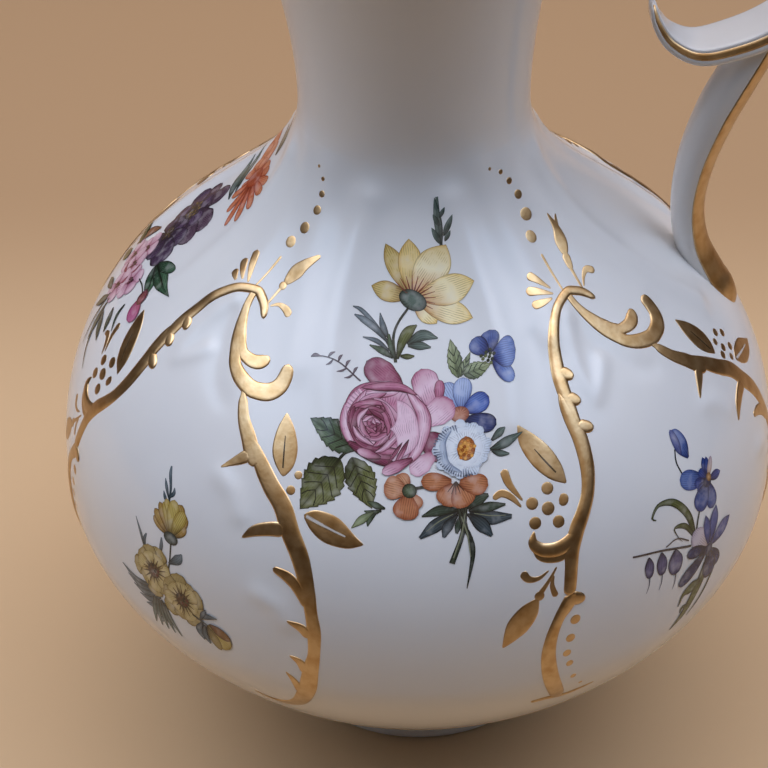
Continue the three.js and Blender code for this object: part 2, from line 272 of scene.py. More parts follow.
# Middle of the lip's edge, half its thickness and its upward direction, all round
def rimFrame(outer, inner):
    half = (outer - inner) / 2
    up = np.cross(half, np.roll(outer, -1, 0) - np.roll(outer, 1, 0))
    up *= np.sign(up[:, 2:3]) / np.linalg.norm(up, axis=1, keepdims=True)
    return (outer + inner) / 2, half, up


# Body: one glazed skin from the foot over the lip and down inside to the floor of the jug
def makeBody():
    around = bodyShape["around"]
    azimuth = np.arange(around) * 360 / around
    coarse, fine = bodyShape["coarse"], bodyShape["fine"]
    low, high, end = lengthAt(bodyShape["fineFrom"]), lengthAt(bodyShape["fineTo"]), wallLength[-1]
    length = np.concatenate([np.arange(0, low, coarse), np.arange(low, high, fine),
                             np.linspace(high, end, int((end - high) / coarse))])
    outer = wallPoints(azimuth[None, :], length[:, None])
    innerLength = np.linspace(end, lengthAt(bodyShape["innerFrom"]), bodyShape["innerRows"])
    depth = -bodyShape["wall"] - ridgeHeight(azimuth[None, :], innerLength[:, None])  # no relief shows inside
    inner = wallPoints(azimuth[None, :], innerLength[:, None], depth)
    middle, half, up = rimFrame(outer[-1], inner[0])
    rim = [middle + half * math.cos(a) + up * math.sin(a) * bodyShape["rimRise"] * mm
           for a in np.linspace(0, math.pi, 9)[1:-1]]
    under, basin = [], []
    for share in bodyShape["underside"]:
        ring = outer[0].copy()
        ring[:, :2] *= share
        under.append(ring)
    for share, height in bodyShape["floor"]:
        ring = inner[-1].copy()
        ring[:, :2] *= share
        ring[:, 2] = height * mm
        basin.append(ring)
    rings = under[::-1] + list(outer) + rim + list(inner) + basin
    points = np.array(rings).reshape(-1, 3)
    faces = gridFaces(len(rings), around, closed=True)
    below, inside = len(points), len(points) + 1  # middles of the underside and of the floor
    points = np.vstack([points, [[0, 0, rings[0][0][2]], [0, 0, rings[-1][0][2]]]])
    last = (len(rings) - 1) * around
    for j in range(around):
        faces.append((below, (j + 1) % around, j))
        faces.append((inside, last + j, last + (j + 1) % around))
    return makeMesh("glazed_body", points + axis, faces)


glazedBody = placeObject("glazed_body", makeBody(), porcelain)
print("body made")

# Foot ring: low, with a softened outer edge and a bare underside
footShape = {"outline": ((31.5, 5.0), (31.5, 0.9), (32.2, 0.2), (33.0, 0.0), (36.2, 0.0), (37.0, 0.25), (37.45, 0.9),
                         (37.3, 1.8), (36.7, 3.2), (36.25, 4.4), (36.0, 5.05)), "around": 160}


def makeFoot():
    around = footShape["around"]
    angle = np.arange(around) * 2 * math.pi / around
    rings = [np.stack([r * np.cos(angle), r * np.sin(angle), np.full(around, z)], -1) * mm
             for r, z in footShape["outline"]]
    points = np.array(rings).reshape(-1, 3) + axis
    faces = gridFaces(len(rings), around, closed=True)
    last = (len(rings) - 1) * around
    faces += [(last + j, last + (j + 1) % around, (j + 1) % around, j) for j in range(around)]
    return makeMesh("foot", points, faces)


foot = placeObject("foot", makeFoot(), porcelain)
print("foot made")


# Smooth curve through stations, spaced evenly along its length
def smoothPath(stations, count):
    knots = np.array(stations, float)
    ends = np.vstack([2 * knots[0] - knots[1], knots, 2 * knots[-1] - knots[-2]])
    dense = []
    for k in range(1, len(ends) - 2):
        p0, p1, p2, p3 = ends[k - 1:k + 3]
        for t in np.linspace(0, 1, 24, endpoint=False):
            dense.append(0.5 * (2 * p1 + (p2 - p0) * t + (2 * p0 - 5 * p1 + 4 * p2 - p3) * t * t
                                + (3 * p1 - p0 - 3 * p2 + p3) * t ** 3))
    dense.append(knots[-1])
    dense = np.array(dense)
    run = np.concatenate([[0], np.cumsum(np.linalg.norm(np.diff(dense, axis=0), axis=1))])
    even = np.linspace(0, run[-1], count)
    return np.stack([np.interp(even, run, dense[:, k]) for k in range(dense.shape[1])], -1)


# Handle: two scrolls in the plane of the axis. The lower one has a gilded outer face; the upper one is a strap with
# a gold line set between its smooth inner face and a white rim. Stations are distance from the axis, height and size.
handleShape = {
    "upper": {
        "stations": ((30, 211, 1.15), (41, 222, 1.05), (51, 230, 0.97), (64, 233, 0.95), (78, 227.9, 0.97),
                     (87, 218, 1), (90, 205.8, 1), (87, 192.2, 0.97), (79, 177.9, 0.94), (68, 169.5, 0.92),
                     (60, 166, 0.88), (54, 165, 0.81), (49, 167.3, 0.67), (46.2, 171, 0.5), (45.2, 174.2, 0.24)),
        "depth": 1.7, "bulge": 2.9, "flat": 0.45, "wide": 1.14, "rows": 120,
        # edge of the section from the inner face to the outer one: height over the crease, share of the half width;
        # the gold line covers its first stations
        "edge": ((-0.6, 0.87), (0.0, 0.9), (0.5, 0.935), (0.95, 0.965), (1.3, 0.99), (1.75, 1.0), (2.3, 0.97),
                 (2.65, 0.86), (2.85, 0.55), (2.9, 0.25)), "giltStations": 4, "giltSink": 0.05,
    },
    "lower": {
        "stations": ((68.2, 168.5, 0.62), (66.0, 164.3, 0.8), (62.6, 157, 0.88), (59.8, 150, 0.88), (57.2, 140, 0.82),
                     (56.5, 130, 0.74), (58.2, 120.5, 0.76), (62.2, 112.3, 0.82), (65.0, 108.2, 0.8),
                     (67.0, 105.2, 0.62), (67.8, 103.4, 0.38)),
        "depth": 5.4, "bulge": 3.9, "crown": 2.2, "flat": 0.75, "wide": 1.0, "rows": 90, "giltSink": 0.4,
    },
    "width": 12.5, "giltLift": 0.06,
}


# Meshes of one scroll and of its gilding, swept along its path
def sweepHandle(name, part):
    look = handleShape[part]
    path = smoothPath(look["stations"], look["rows"])
    place, size = path[:, :2], path[:, 2]
    along = np.gradient(place, axis=0)
    along /= np.linalg.norm(along, axis=1, keepdims=True)
    outward = np.stack([-along[:, 1], along[:, 0]], -1)
    depth, bulge, half = look["depth"], look["bulge"], look["wide"] * handleShape["width"] / 2
    crease, lift, sink = (depth - bulge) / 2, handleShape["giltLift"], look["giltSink"]

    def sweep(section):
        n, b = np.array(section).T
        x = place[:, :1] + outward[:, :1] * n * size[:, None]
        z = place[:, 1:] + outward[:, 1:] * n * size[:, None]
        points = np.stack([x, b * half * size[:, None], z], -1) * mm + axis
        rows, columns = points.shape[:2]
        faces = gridFaces(rows, columns, closed=True)
        faces.append(tuple(range(columns)))
        faces.append(tuple((rows - 1) * columns + j for j in reversed(range(columns))))
        return points.reshape(-1, 3), faces

    turn = np.linspace(0, math.pi, 31)[1:-1]
    if part == "upper":
        edge = np.array(look["edge"]) + (crease, 0)
        outer = [(n, -b) for n, b in edge] + [(crease + bulge, 0)] + [(n, b) for n, b in edge[::-1]]
        low, reach = edge[0]
        skins = []
        for side in (-1, 1):
            strip = edge[:look["giltStations"]] * (1, side)
            skins.append(sweep(np.vstack([strip + (0, side * lift / half), (strip - (0, side * sink))[::-1]])))
    else:
        share = np.linspace(-1, 1, 21)
        face = np.stack([crease + bulge * (1 - np.abs(share) ** look["crown"]), share], -1)
        outer, low, reach = face, crease, 1.0
        skins = [sweep(np.vstack([face + (lift, 0), (face - (sink, 0))[::-1]]))]
    back = np.stack([low - (depth + low - crease) * np.sin(turn) ** look["flat"], reach * np.cos(turn)], -1)
    return makeMesh(name, *sweep(np.vstack([outer, back]))), joinStrokes(name + "_gilding", skins)


# One mesh from several sets of points and faces
def joinStrokes(name, sets):
    points, faces, start = [], [], 0
    for setPoints, setFaces in sets:
        points.append(setPoints)
        faces += [tuple(i + start for i in f) for f in setFaces]
        start += len(setPoints)
    return makeMesh(name, np.vstack(points), faces)


def outwardFaces(mesh):
    work = bmesh.new()
    work.from_mesh(mesh)
    bmesh.ops.recalc_face_normals(work, faces=work.faces)
    work.to_mesh(mesh)
    work.free()


handlePieces = []
for part in ("upper", "lower"):
    name = "handle_" + part
    scroll, skin = sweepHandle(name, part)
    for mesh, material, pieceName, node in ((scroll, porcelain, name, "handle_" + part + "_scroll"),
                                            (skin, gilt, name + "_gilding", "gilt_" + part + "_face")):
        outwardFaces(mesh)
        handlePieces.append((placeObject(pieceName, mesh, material), node))
print("handle made")


# Gilt edge of the lip, laid over the outside and the rounded top of the wall
lipBand = {
    "height": 3.5, "thick": 0.1, "sink": 0.05, "around": 300,
    "over": (0.12, 0.75), "end": 0.77, "tuck": 0.97,  # half turns over the top, and the last ring inside the glaze
}


def makeLipBand():
    azimuth = np.arange(lipBand["around"]) * 360 / lipBand["around"]
    top, height, thick, rise = wallLength[-1], lipBand["height"], lipBand["thick"], bodyShape["rimRise"]
    rows = [(top - height, -lipBand["sink"])] + [(top - d, thick) for d in np.linspace(height - 0.1, 0, 6)]
    rings = [wallPoints(azimuth, np.full(azimuth.size, s), lift) for s, lift in rows]
    outer = wallPoints(azimuth, np.full(azimuth.size, top))
    inner = wallPoints(azimuth, np.full(azimuth.size, top), -bodyShape["wall"])
    middle, half, up = rimFrame(outer, inner)
    turns = [(share * math.pi, 1 + thick / rise) for share in np.linspace(*lipBand["over"], 8)]
    for turn, grow in turns + [(lipBand["end"] * math.pi, lipBand["tuck"])]:
        rings.append(middle + half * math.cos(turn) * grow + up * math.sin(turn) * rise * mm * grow)
    points = np.array(rings).reshape(-1, 3) + axis
    return makeMesh("gilt_lip", points, gridFaces(len(rings), lipBand["around"], closed=True))


giltLip = placeObject("gilt_lip", makeLipBand(), gilt)
print("lip band made")

# Gilding on the body: flat-topped strokes that follow the wall; a station is azimuth, height and width in millimetres
strokeLook = {"step": 0.3, "rows": (26, 260), "across": 11, "least": 0.05, "sink": 0.05,
              "fullFrom": 1.6, "crown": 0.6}  # narrower strokes than that stand lower


def strokeMesh(stations, height, square):
    across, least = strokeLook["across"], strokeLook["least"]
    knots = np.array(stations, float)
    girth = radiusAt(lengthAt(knots[:, 1])).mean() * math.pi / 180
    flat = np.stack([knots[:, 0] * girth, lengthAt(knots[:, 1]), knots[:, 2]], -1)
    run = np.linalg.norm(np.diff(flat[:, :2], axis=0), axis=1).sum()
    path = smoothPath(flat, int(np.clip(run / strokeLook["step"], *strokeLook["rows"])))
    azimuth, length, width = path[:, 0] / girth, path[:, 1], np.maximum(path[:, 2], least)
    scale = radiusAt(length) * math.pi / 180
    along = np.stack([np.gradient(azimuth) * scale, np.gradient(length)], -1)
    along /= np.linalg.norm(along, axis=1, keepdims=True) + 1e-12
    away = np.concatenate([[0], np.cumsum(np.linalg.norm(np.diff(path[:, :2], axis=0), axis=1))])
    for gap in (away, away[-1] - away):  # rounded ends
        reach = np.maximum(width / 2, least)
        width = width * np.sqrt(np.clip(1 - (1 - np.clip(gap / reach, 0, 1)) ** 2, 0.003, 1))
    v = np.sin(np.linspace(-1, 1, across) * math.pi / 2)  # closer towards the edges
    side = v[None, :] * width[:, None] / 2
    a = azimuth[:, None] - along[:, 1:] * side / scale[:, None]
    s = length[:, None] + along[:, :1] * side
    crown = np.minimum(1, width / strokeLook["fullFrom"])[:, None] ** strokeLook["crown"]
    lift = height * crown * (1 - np.abs(v[None, :]) ** square) - strokeLook["sink"] * (np.abs(v[None, :]) > 0.99)
    points = wallPoints(a, s, lift).reshape(-1, 3)
    return points, gridFaces(len(path), across)


crescentBorder = {
    "height": 0.16, "square": 12.0,
    "strokes": (
        ((-46.9, 128.9, 1.6), (-46.5, 127.2, 1.7), (-45.6, 125.7, 2.2), (-44.1, 124.0, 3.1), (-42.7, 122.7, 3.7),
         (-41.6, 121.4, 3.2), (-40.3, 120.2, 2.8), (-37.8, 119.2, 3.2), (-34.6, 118.5, 3.4), (-32.4, 118.5, 3.5),
         (-30.1, 118.9, 3.7), (-28.5, 119.9, 3.5), (-28.0, 121.3, 3.1),
         (-28.3, 122.7, 2.4)),  # crescent and its large tail
        ((-42.6, 123.8, 1.4), (-41.8, 122.9, 2.0), (-40.1, 121.9, 2.3), (-38.6, 121.6, 2.5), (-36.8, 121.5, 2.8),
         (-35.2, 121.7, 3.0), (-34.1, 122.2, 2.6), (-33.6, 122.8, 1.6)),  # small tail
        ((-35.7, 118.1, 0.8), (-35.0, 117.3, 1.2), (-34.4, 116.5, 2.1), (-32.8, 114.6, 2.6), (-30.6, 112.7, 3.2),
         (-28.8, 110.8, 3.4), (-27.4, 109.3, 2.6)),  # first strand of the stem
        ((-31.6, 113.6, 0.5), (-29.0, 111.9, 2.0), (-26.4, 109.6, 3.2), (-23.9, 107.3, 3.6), (-21.2, 104.8, 3.8),
         (-19.3, 101.3, 3.9), (-17.2, 97.3, 3.7), (-15.7, 92, 3.0), (-15, 87.5, 2.6), (-14.5, 83.4, 2.8),
         (-14.5, 78.1, 2.5), (-15, 74, 3.2), (-15.8, 67.6, 3.7), (-17.7, 61.2, 3.0), (-20.5, 58.2, 1.7),
         (-23.3, 57.6, 0.9), (-25.5, 58.8, 0.3)),
        ((-29.2, 110.5, 2.8), (-30.7, 109.4, 2.2), (-32.1, 108.4, 1.3), (-33.5, 107.3, 0.3)),  # thorns
        ((-20.2, 101.4, 3.0), (-22.6, 100.9, 2.8), (-25.0, 99.8, 2.2), (-26.8, 98.0, 0.4)),
        ((-15.7, 88.5, 1.4), (-17.1, 91.6, 2.2), (-18.7, 93.4, 2.4), (-21.2, 94.4, 1.2)),
        ((-15, 82, 2.4), (-16.3, 83.7, 2.0), (-18.4, 84.8, 0.4)),
        ((-15.6, 72.5, 2.4), (-16.5, 75, 2.0), (-18.1, 76.2, 0.4)),
        ((-16.7, 66, 2.2), (-17.6, 69.3, 1.6), (-18.8, 71.4, 0.3)),
    ),
}
knottedBorder = {
    "height": 0.3, "square": 4.0,
    "strokes": (
        ((50.0, 126.4, 0.6), (49.5, 126.9, 1.5), (48.2, 127.8, 2.0), (46.2, 128.5, 2.1), (43.5, 128.9, 2.0),
         (38.4, 128, 2.0), (35, 126.4, 2.2), (32.6, 124.5, 2.5), (31.2, 122.4, 2.8), (30.2, 120.2, 3.0),
         (29.8, 117.6, 2.8), (29.9, 115.4, 2.0), (30.3, 113.4, 0.6)),  # claw and first strand
        ((28.9, 118.9, 0.5), (28.8, 117.2, 2.0), (29.1, 115.2, 3.1), (29.3, 112.5, 3.3), (28.8, 108.7, 3.1),
         (27.6, 105.2, 2.8), (26, 102.5, 3.0), (24.3, 100, 3.3), (23, 97, 3.1), (22.4, 93.9, 2.8), (21.9, 90.6, 2.7),
         (21.6, 88.6, 2.6)),  # second strand
        ((22.1, 89.2, 1.2), (21.9, 88.0, 3.0), (21.0, 86.4, 3.0), (19.8, 84.2, 2.4), (18.7, 80.5, 2.6),
         (18.2, 75.8, 3.1), (18.7, 69.8, 3.4), (20, 63.8, 3.2), (20.8, 60.8, 2.6)),  # third strand
        ((25.6, 102.6, 0.8), (24.9, 100.7, 2.2), (23.5, 98.9, 2.8), (21.6, 97.9, 3.0), (19.8, 97.8, 2.9),
         (18.2, 98.4, 2.6), (17.2, 99.8, 2.0), (17.6, 101.6, 0.3)),  # hook
        ((30.9, 121.2, 2.8), (32.1, 120.4, 2.6), (33.2, 119.8, 2.0)),  # knobs
        ((29.9, 118.0, 2.8), (31.2, 117.3, 2.6), (32.4, 116.8, 2.0)),
        ((29.6, 114.2, 2.8), (31.2, 113.6, 2.6), (32.6, 113.1, 2.0)),
        ((21.4, 88.2, 3.0), (22.8, 87.4, 2.8), (24.0, 86.9, 2.0)),
        ((16.4, 61.2, 1.0), (18.9, 61.4, 1.4), (21.8, 60.4, 1.2), (24.5, 60.8, 0.8), (26.6, 61.3, 0.3)),
    ),
}
# Flat gold painted by hand beside the borders: leaves, curls and dots in every panel, and sprigs over the joints of
# the borders, which differ a little from joint to joint. Dots are azimuth, height and radius.
paintedGold = {
    "height": 0.06, "square": 12.0, "dotHeight": 0.07, "dotSegments": 20, "dotRings": 10,
    "panels": {
        "copies": 4,
        "strokes": (
            ((-25.0, 117.2, 0.3), (-24.2, 115.2, 3.6), (-23.3, 112.8, 5.2), (-22.6, 110.8, 4.0),
             (-22.3, 109.1, 0.8)),  # leaf
            ((-17.6, 104.4, 1.0), (-15.9, 104.0, 4.0), (-13.2, 102.9, 5.6), (-10.4, 101.7, 3.6),
             (-8.0, 101.2, 0.3)),  # leaf
            ((18.6, 116.4, 0.3), (19.7, 114.4, 3.6), (21.5, 111.8, 5.0), (23.2, 109.3, 3.8),
             (24.5, 107.3, 0.4)),  # leaf
            ((14.5, 111.3, 1.8), (15.0, 109.2, 1.5), (16.7, 106.5, 0.4)),
            ((12.0, 107.5, 1.0), (13.5, 108.1, 1.5), (15, 107.3, 1.3), (16.3, 105.6, 0.4)),
            ((22.5, 96.7, 0.6), (21.2, 96.2, 1.6), (19.4, 96.4, 1.7), (17.9, 97.2, 1.4),
             (17.0, 98.6, 0.4)),  # under the hook
            ((15.0, 95.2, 1.8), (15.8, 93.7, 1.5), (17.3, 93.4, 0.9), (19.0, 94.4, 0.3)),
            ((20.2, 94.7, 0.4), (18.6, 92.2, 0.8), (17.3, 90.4, 1.2)),
            ((19.6, 93.3, 0.4), (19.2, 91.4, 1.0), (19.6, 89.1, 1.4)),
            ((17.0, 89.6, 0.6), (15.6, 87.4, 4.0), (13.9, 84.7, 4.8), (12.7, 82.4, 3.0), (11.6, 80.2, 0.3)),  # bud
        ),
        "dots": ((-19.8, 109.8, 0.8), (-20.5, 107.5, 0.9), (17.2, 90.0, 1.0), (21.1, 107.4, 1.2), (23.3, 105.1, 1.2),
                 (18.1, 105.8, 1.2), (20.5, 104.5, 1.3), (18, 102.8, 1.2), (21.7, 102.1, 1.2), (22.3, 82.9, 1.1),
                 (21.5, 78.8, 1.0), (21, 75.1, 0.9), (21.5, 72, 0.8), (22.3, 67.6, 0.65), (23.9, 63.8, 0.45)),
    },
    "sidePanels": {  # the rest of a cluster, which the print's leaf takes up on the front and back
        "copies": 2,
        "dots": ((72.4, 110.3, 0.9), (74.3, 108.9, 0.9), (71.2, 107.9, 0.9), (73.5, 106.5, 0.9), (71.6, 105.6, 0.8)),
    },
    "jointsOne": {
        "copies": 2,
        "strokes": (
            ((-57.4, 129.2, 2.2), (-56.0, 128.8, 1.6), (-54.2, 128.3, 0.5)),  # three drops
            ((-57.4, 131.0, 2.2), (-55.2, 130.0, 1.7), (-52.5, 128.9, 0.4)),
            ((-55.4, 132.8, 2.1), (-53.2, 131.0, 1.7), (-50.4, 129.0, 0.4)),
            ((-47.8, 129, 0.4), (-46.2, 134.0, 0.6)), ((-41.4, 128.1, 0.5), (-40, 130.9, 0.7)),
            ((-39.8, 131.2, 1.5), (-38.2, 133.0, 3.4), (-36.2, 134.4, 2.4), (-32.4, 136.2, 0.7)),  # bud
            ((-40.3, 128.1, 0.3), (-38, 128.7, 0.9), (-35.3, 128.5, 1.6), (-33.4, 127.9, 1.8)),
        ),
        "dots": ((-47.8, 149, 0.35), (-43.6, 147.2, 0.45), (-41.8, 144.7, 0.7), (-41.2, 142, 0.95),
                 (-43.4, 138.8, 1.2), (-46, 136.2, 1.25), (-40.0, 130.9, 0.9)),
    },
    "jointsTwo": {
        "copies": 2,
        "strokes": (
            ((34.6, 132.9, 2.1), (36.7, 131.9, 1.6), (39.5, 130.2, 0.4)),
            ((32.0, 131.1, 2.1), (35.3, 130.5, 1.6), (39.3, 129.5, 0.4)),
            ((31.7, 129.2, 1.9), (34.5, 129.1, 1.6), (38.2, 129.1, 0.4)),  # three drops
            ((42.6, 129.0, 0.4), (43.0, 132.0, 0.6), (43.4, 134.5, 0.6)), ((48.6, 128.2, 0.5), (49.8, 131.2, 0.8)),
            ((49.6, 130.8, 1.2), (50.7, 132.2, 1.9), (51.4, 133.0, 1.2)),
            ((51.0, 132.6, 1.4), (52.8, 134.3, 3.0), (54.6, 136.1, 2.0), (55.2, 138.5, 0.4)),
            ((54.0, 135.6, 1.2), (56.6, 136.8, 0.9), (58.9, 137.6, 0.3)),  # bud
            ((49.4, 128.3, 0.3), (51.6, 129.3, 0.8), (54.0, 129.7, 1.5), (56.0, 128.9, 1.7)),
        ),
        "dots": ((35.8, 149.9, 0.35), (41.4, 148.5, 0.5), (44.6, 146.3, 0.7), (46.6, 143.5, 0.95), (46.0, 140.2, 1.4),
                 (43.4, 137.1, 1.4)),
    },
}


# New tree of geometry nodes with named inputs
def startNodes(name, inputs):
    tree = bpy.data.node_groups.new(name, "GeometryNodeTree")
    tree.interface.new_socket("Geometry", in_out="INPUT", socket_type="NodeSocketGeometry")
    for label, kind in inputs.items():
        tree.interface.new_socket(label, in_out="INPUT", socket_type="NodeSocket" + kind)
    tree.interface.new_socket("Geometry", in_out="OUTPUT", socket_type="NodeSocketGeometry")
    return tree, addNode(tree, "NodeGroupInput")


# Runs the tree on a piece, which keeps the result as a plain mesh
def runNodes(piece, tree, values):
    modifier = piece.modifiers.new(tree.name, "NODES")
    modifier.node_group = tree
    for socket in tree.interface.items_tree:
        if socket.in_out == "INPUT" and socket.name in values:
            modifier[socket.identifier] = values[socket.name]
    made = bpy.data.meshes.new_from_object(piece.evaluated_get(bpy.context.evaluated_depsgraph_get()))
    piece.modifiers.clear()
    made.name = piece.name
    piece.data = made
    return piece


# Repeats a share of the ornament round the axis
def turnAround(piece, material, count):
    tree, source = startNodes("turnAround", {"Copies": "Int", "Step": "Float", "Axis": "Vector"})
    points = addNode(tree, "GeometryNodePoints", {
        "Count": source.outputs["Copies"], "Position": source.outputs["Axis"]})
    index = addNode(tree, "GeometryNodeInputIndex")
    turn = addNode(tree, "ShaderNodeMath", {0: index.outputs[0], 1: source.outputs["Step"]}, operation="MULTIPLY")
    spin = addNode(tree, "ShaderNodeCombineXYZ", {"Z": turn.outputs[0]})
    spread = addNode(tree, "GeometryNodeInstanceOnPoints", {
        "Points": points.outputs[0], "Instance": source.outputs["Geometry"], "Rotation": spin.outputs[0]})
    real = addNode(tree, "GeometryNodeRealizeInstances", {"Geometry": spread.outputs[0]})
    painted = addNode(tree, "GeometryNodeSetMaterial", {"Geometry": real.outputs[0], "Material": material})
    addNode(tree, "NodeGroupOutput", {"Geometry": painted.outputs[0]})
    return runNodes(piece, tree, {"Copies": count, "Step": 2 * math.pi / count, "Axis": (axisX, 0.0, 0.0)})


def borderPiece(name, look, lines, copies=4):
    mesh = joinStrokes(name, [strokeMesh(stations, look["height"], look["square"]) for stations in lines])
    return turnAround(placeObject(name, mesh, gilt), gilt, copies)


crescents = borderPiece("crescent_borders", crescentBorder, crescentBorder["strokes"])
knots = borderPiece("knotted_borders", knottedBorder, knottedBorder["strokes"])
goldStrokes = [borderPiece("painted_gold_" + key, paintedGold, paintedGold[key]["strokes"],
                           paintedGold[key]["copies"])
               for key in ("panels", "jointsOne", "jointsTwo")]
print("borders and painted gold made")


# Dots of gold: one low dome set on every point, turned to the wall and scaled
def makeDots():
    spots = []
    for key in ("panels", "sidePanels", "jointsOne", "jointsTwo"):
        copies = paintedGold[key]["copies"]
        spots += [(a + 360 * k / copies, z, r) for k in range(copies) for a, z, r in paintedGold[key]["dots"]]
    azimuth, height, radius = np.array(spots).T
    length = lengthAt(height)
    mesh = bpy.data.meshes.new("gold_dots")
    mesh.from_pydata((wallPoints(azimuth, length) + axis).tolist(), [], [])
    normals = wallNormals(azimuth, length).ravel()
    mesh.attributes.new("outward", "FLOAT_VECTOR", "POINT").data.foreach_set("vector", normals)
    mesh.attributes.new("dotRadius", "FLOAT", "POINT").data.foreach_set("value", radius * mm)
    piece = placeObject("gold_dots", mesh, gilt)
    tree, source = startNodes("setDots", {"Dot height": "Float"})
    points = addNode(tree, "GeometryNodeMeshToPoints", {"Mesh": source.outputs["Geometry"]})
    outward = addNode(tree, "GeometryNodeInputNamedAttribute", {"Name": "outward"}, data_type="FLOAT_VECTOR")
    size = addNode(tree, "GeometryNodeInputNamedAttribute", {"Name": "dotRadius"}, data_type="FLOAT")
    turned = addNode(tree, "FunctionNodeAlignRotationToVector", {"Vector": outward.outputs["Attribute"]}, axis="Z")
    scale = addNode(tree, "ShaderNodeCombineXYZ", {
        "X": size.outputs["Attribute"], "Y": size.outputs["Attribute"], "Z": source.outputs["Dot height"]})
    dome = addNode(tree, "GeometryNodeMeshUVSphere", {
        "Segments": paintedGold["dotSegments"], "Rings": paintedGold["dotRings"], "Radius": 1.0})
    spread = addNode(tree, "GeometryNodeInstanceOnPoints", {
        "Points": points.outputs[0], "Instance": dome.outputs["Mesh"], "Rotation": turned.outputs[0],
        "Scale": scale.outputs[0]})
    real = addNode(tree, "GeometryNodeRealizeInstances", {"Geometry": spread.outputs[0]})
    soft = addNode(tree, "GeometryNodeSetShadeSmooth", {"Geometry": real.outputs[0]})
    painted = addNode(tree, "GeometryNodeSetMaterial", {"Geometry": soft.outputs[0], "Material": gilt})
    addNode(tree, "NodeGroupOutput", {"Geometry": painted.outputs[0]})
    return runNodes(piece, tree, {"Dot height": paintedGold["dotHeight"] * mm})


goldDots = makeDots()
print("gold dots made")

# Flower prints: thin patches of colour on the glaze, in millimetres across and up the wall from a panel's middle.
# Each patch lies a layer over the one before, so the order of the lines is the order of the print.
printLook = {
    "lift": 0.04, "layer": 0.002,
    "strokeStep": 0.5, "eyeStep": 0.2, "fineStep": 0.1,  # small things take less of a layer
    "toothDepth": 0.18, "toothEnd": 0.97, "ripple": 19, "tipLine": 0.8, "rib": 0.09,
    "petalSlant": 0.12, "leafSlant": 0.35,  # the shades of a petal run askew
    "veinWidth": 0.2, "veinFrom": 0.16, "veinOver": 0.6, "veinRise": 0.2, "veinOut": 0.8, "veinLine": 0.6,
    "petalGrid": (16, 11), "cupGrid": (14, 9), "stemGrid": (8, 5),  # fewest rows, and columns
    "discGrid": (49, 7), "dotGrid": (17, 4), "dotBelow": 0.8,
}


def newSheet(azimuth, height):
    return {"azimuth": azimuth, "start": lengthAt(height), "layer": 0, "points": [], "faces": [], "ink": [],
            "edge": [], "lines": []}


# One patch: ink has the outline's strength as its alpha, edge is the distance to the outline, along and across lead
# the engraved lines
def addPatch(sheet, x, y, ink, edge, along, across, step=1.0):
    rows, columns = x.shape
    length = sheet["start"] + y
    azimuth = sheet["azimuth"] + np.degrees(x / radiusAt(length))
    lift = printLook["lift"] + printLook["layer"] * sheet["layer"]
    start = sum(len(p) for p in sheet["points"])
    faces = gridFaces(rows, columns, start=start)
    points = wallPoints(azimuth, length, lift).reshape(-1, 3)
    probe = points.reshape(rows, columns, 3)
    i, j = rows // 2, columns // 2
    facing = np.cross(probe[i, j] - probe[i, j - 1], probe[i, j] - probe[i - 1, j])
    if facing @ (probe[i, j] * np.array([1, 1, 0])) < 0:
        faces = [f[::-1] for f in faces]
    sheet["points"].append(points)
    sheet["faces"] += faces
    sheet["ink"].append(np.broadcast_to(ink, (rows, columns, 4)).reshape(-1, 4))
    sheet["edge"].append(np.broadcast_to(edge, (rows, columns)).ravel())
    sheet["lines"].append(np.stack(np.broadcast_arrays(along, across), -1).reshape(-1, 2))
    sheet["layer"] += step


def blendInks(inks, share, line):
    colours = np.array([linearColour(c)[:3] for c in inks])
    places = np.linspace(0, 1, len(inks))
    mixed = np.stack([np.interp(share, places, colours[:, k]) for k in range(3)], -1)
    return np.concatenate([mixed, np.full(mixed.shape[:-1] + (1,), line)], -1)


# Widest place along a petal, and the width at its base
petalShapes = {"petal": (0.62, 0.3), "bud": (0.5, 0.15), "fan": (0.75, 0.2), "point": (0.55, 0.3)}


# Width of a petal or leaf along its length, as a share
def petalWidth(kind, u):
    if kind == "leaf":
        return np.sin(np.pi * u ** 0.78) ** 0.95
    if kind == "blade":
        return np.sin(np.pi * u ** 0.9) ** 0.8
    widest, base = petalShapes[kind]
    inner = base + (1 - base) * np.sin(np.clip(u / widest, 0, 1) * np.pi / 2)
    beyond = (u - widest) / (1 - widest)
    if kind == "point":
        return np.where(u < widest, inner, 1 - np.clip(beyond, 0, 1) ** 2.2)
    return np.where(u < widest, inner, np.sqrt(np.clip(1 - beyond ** 2, 0, 1)))


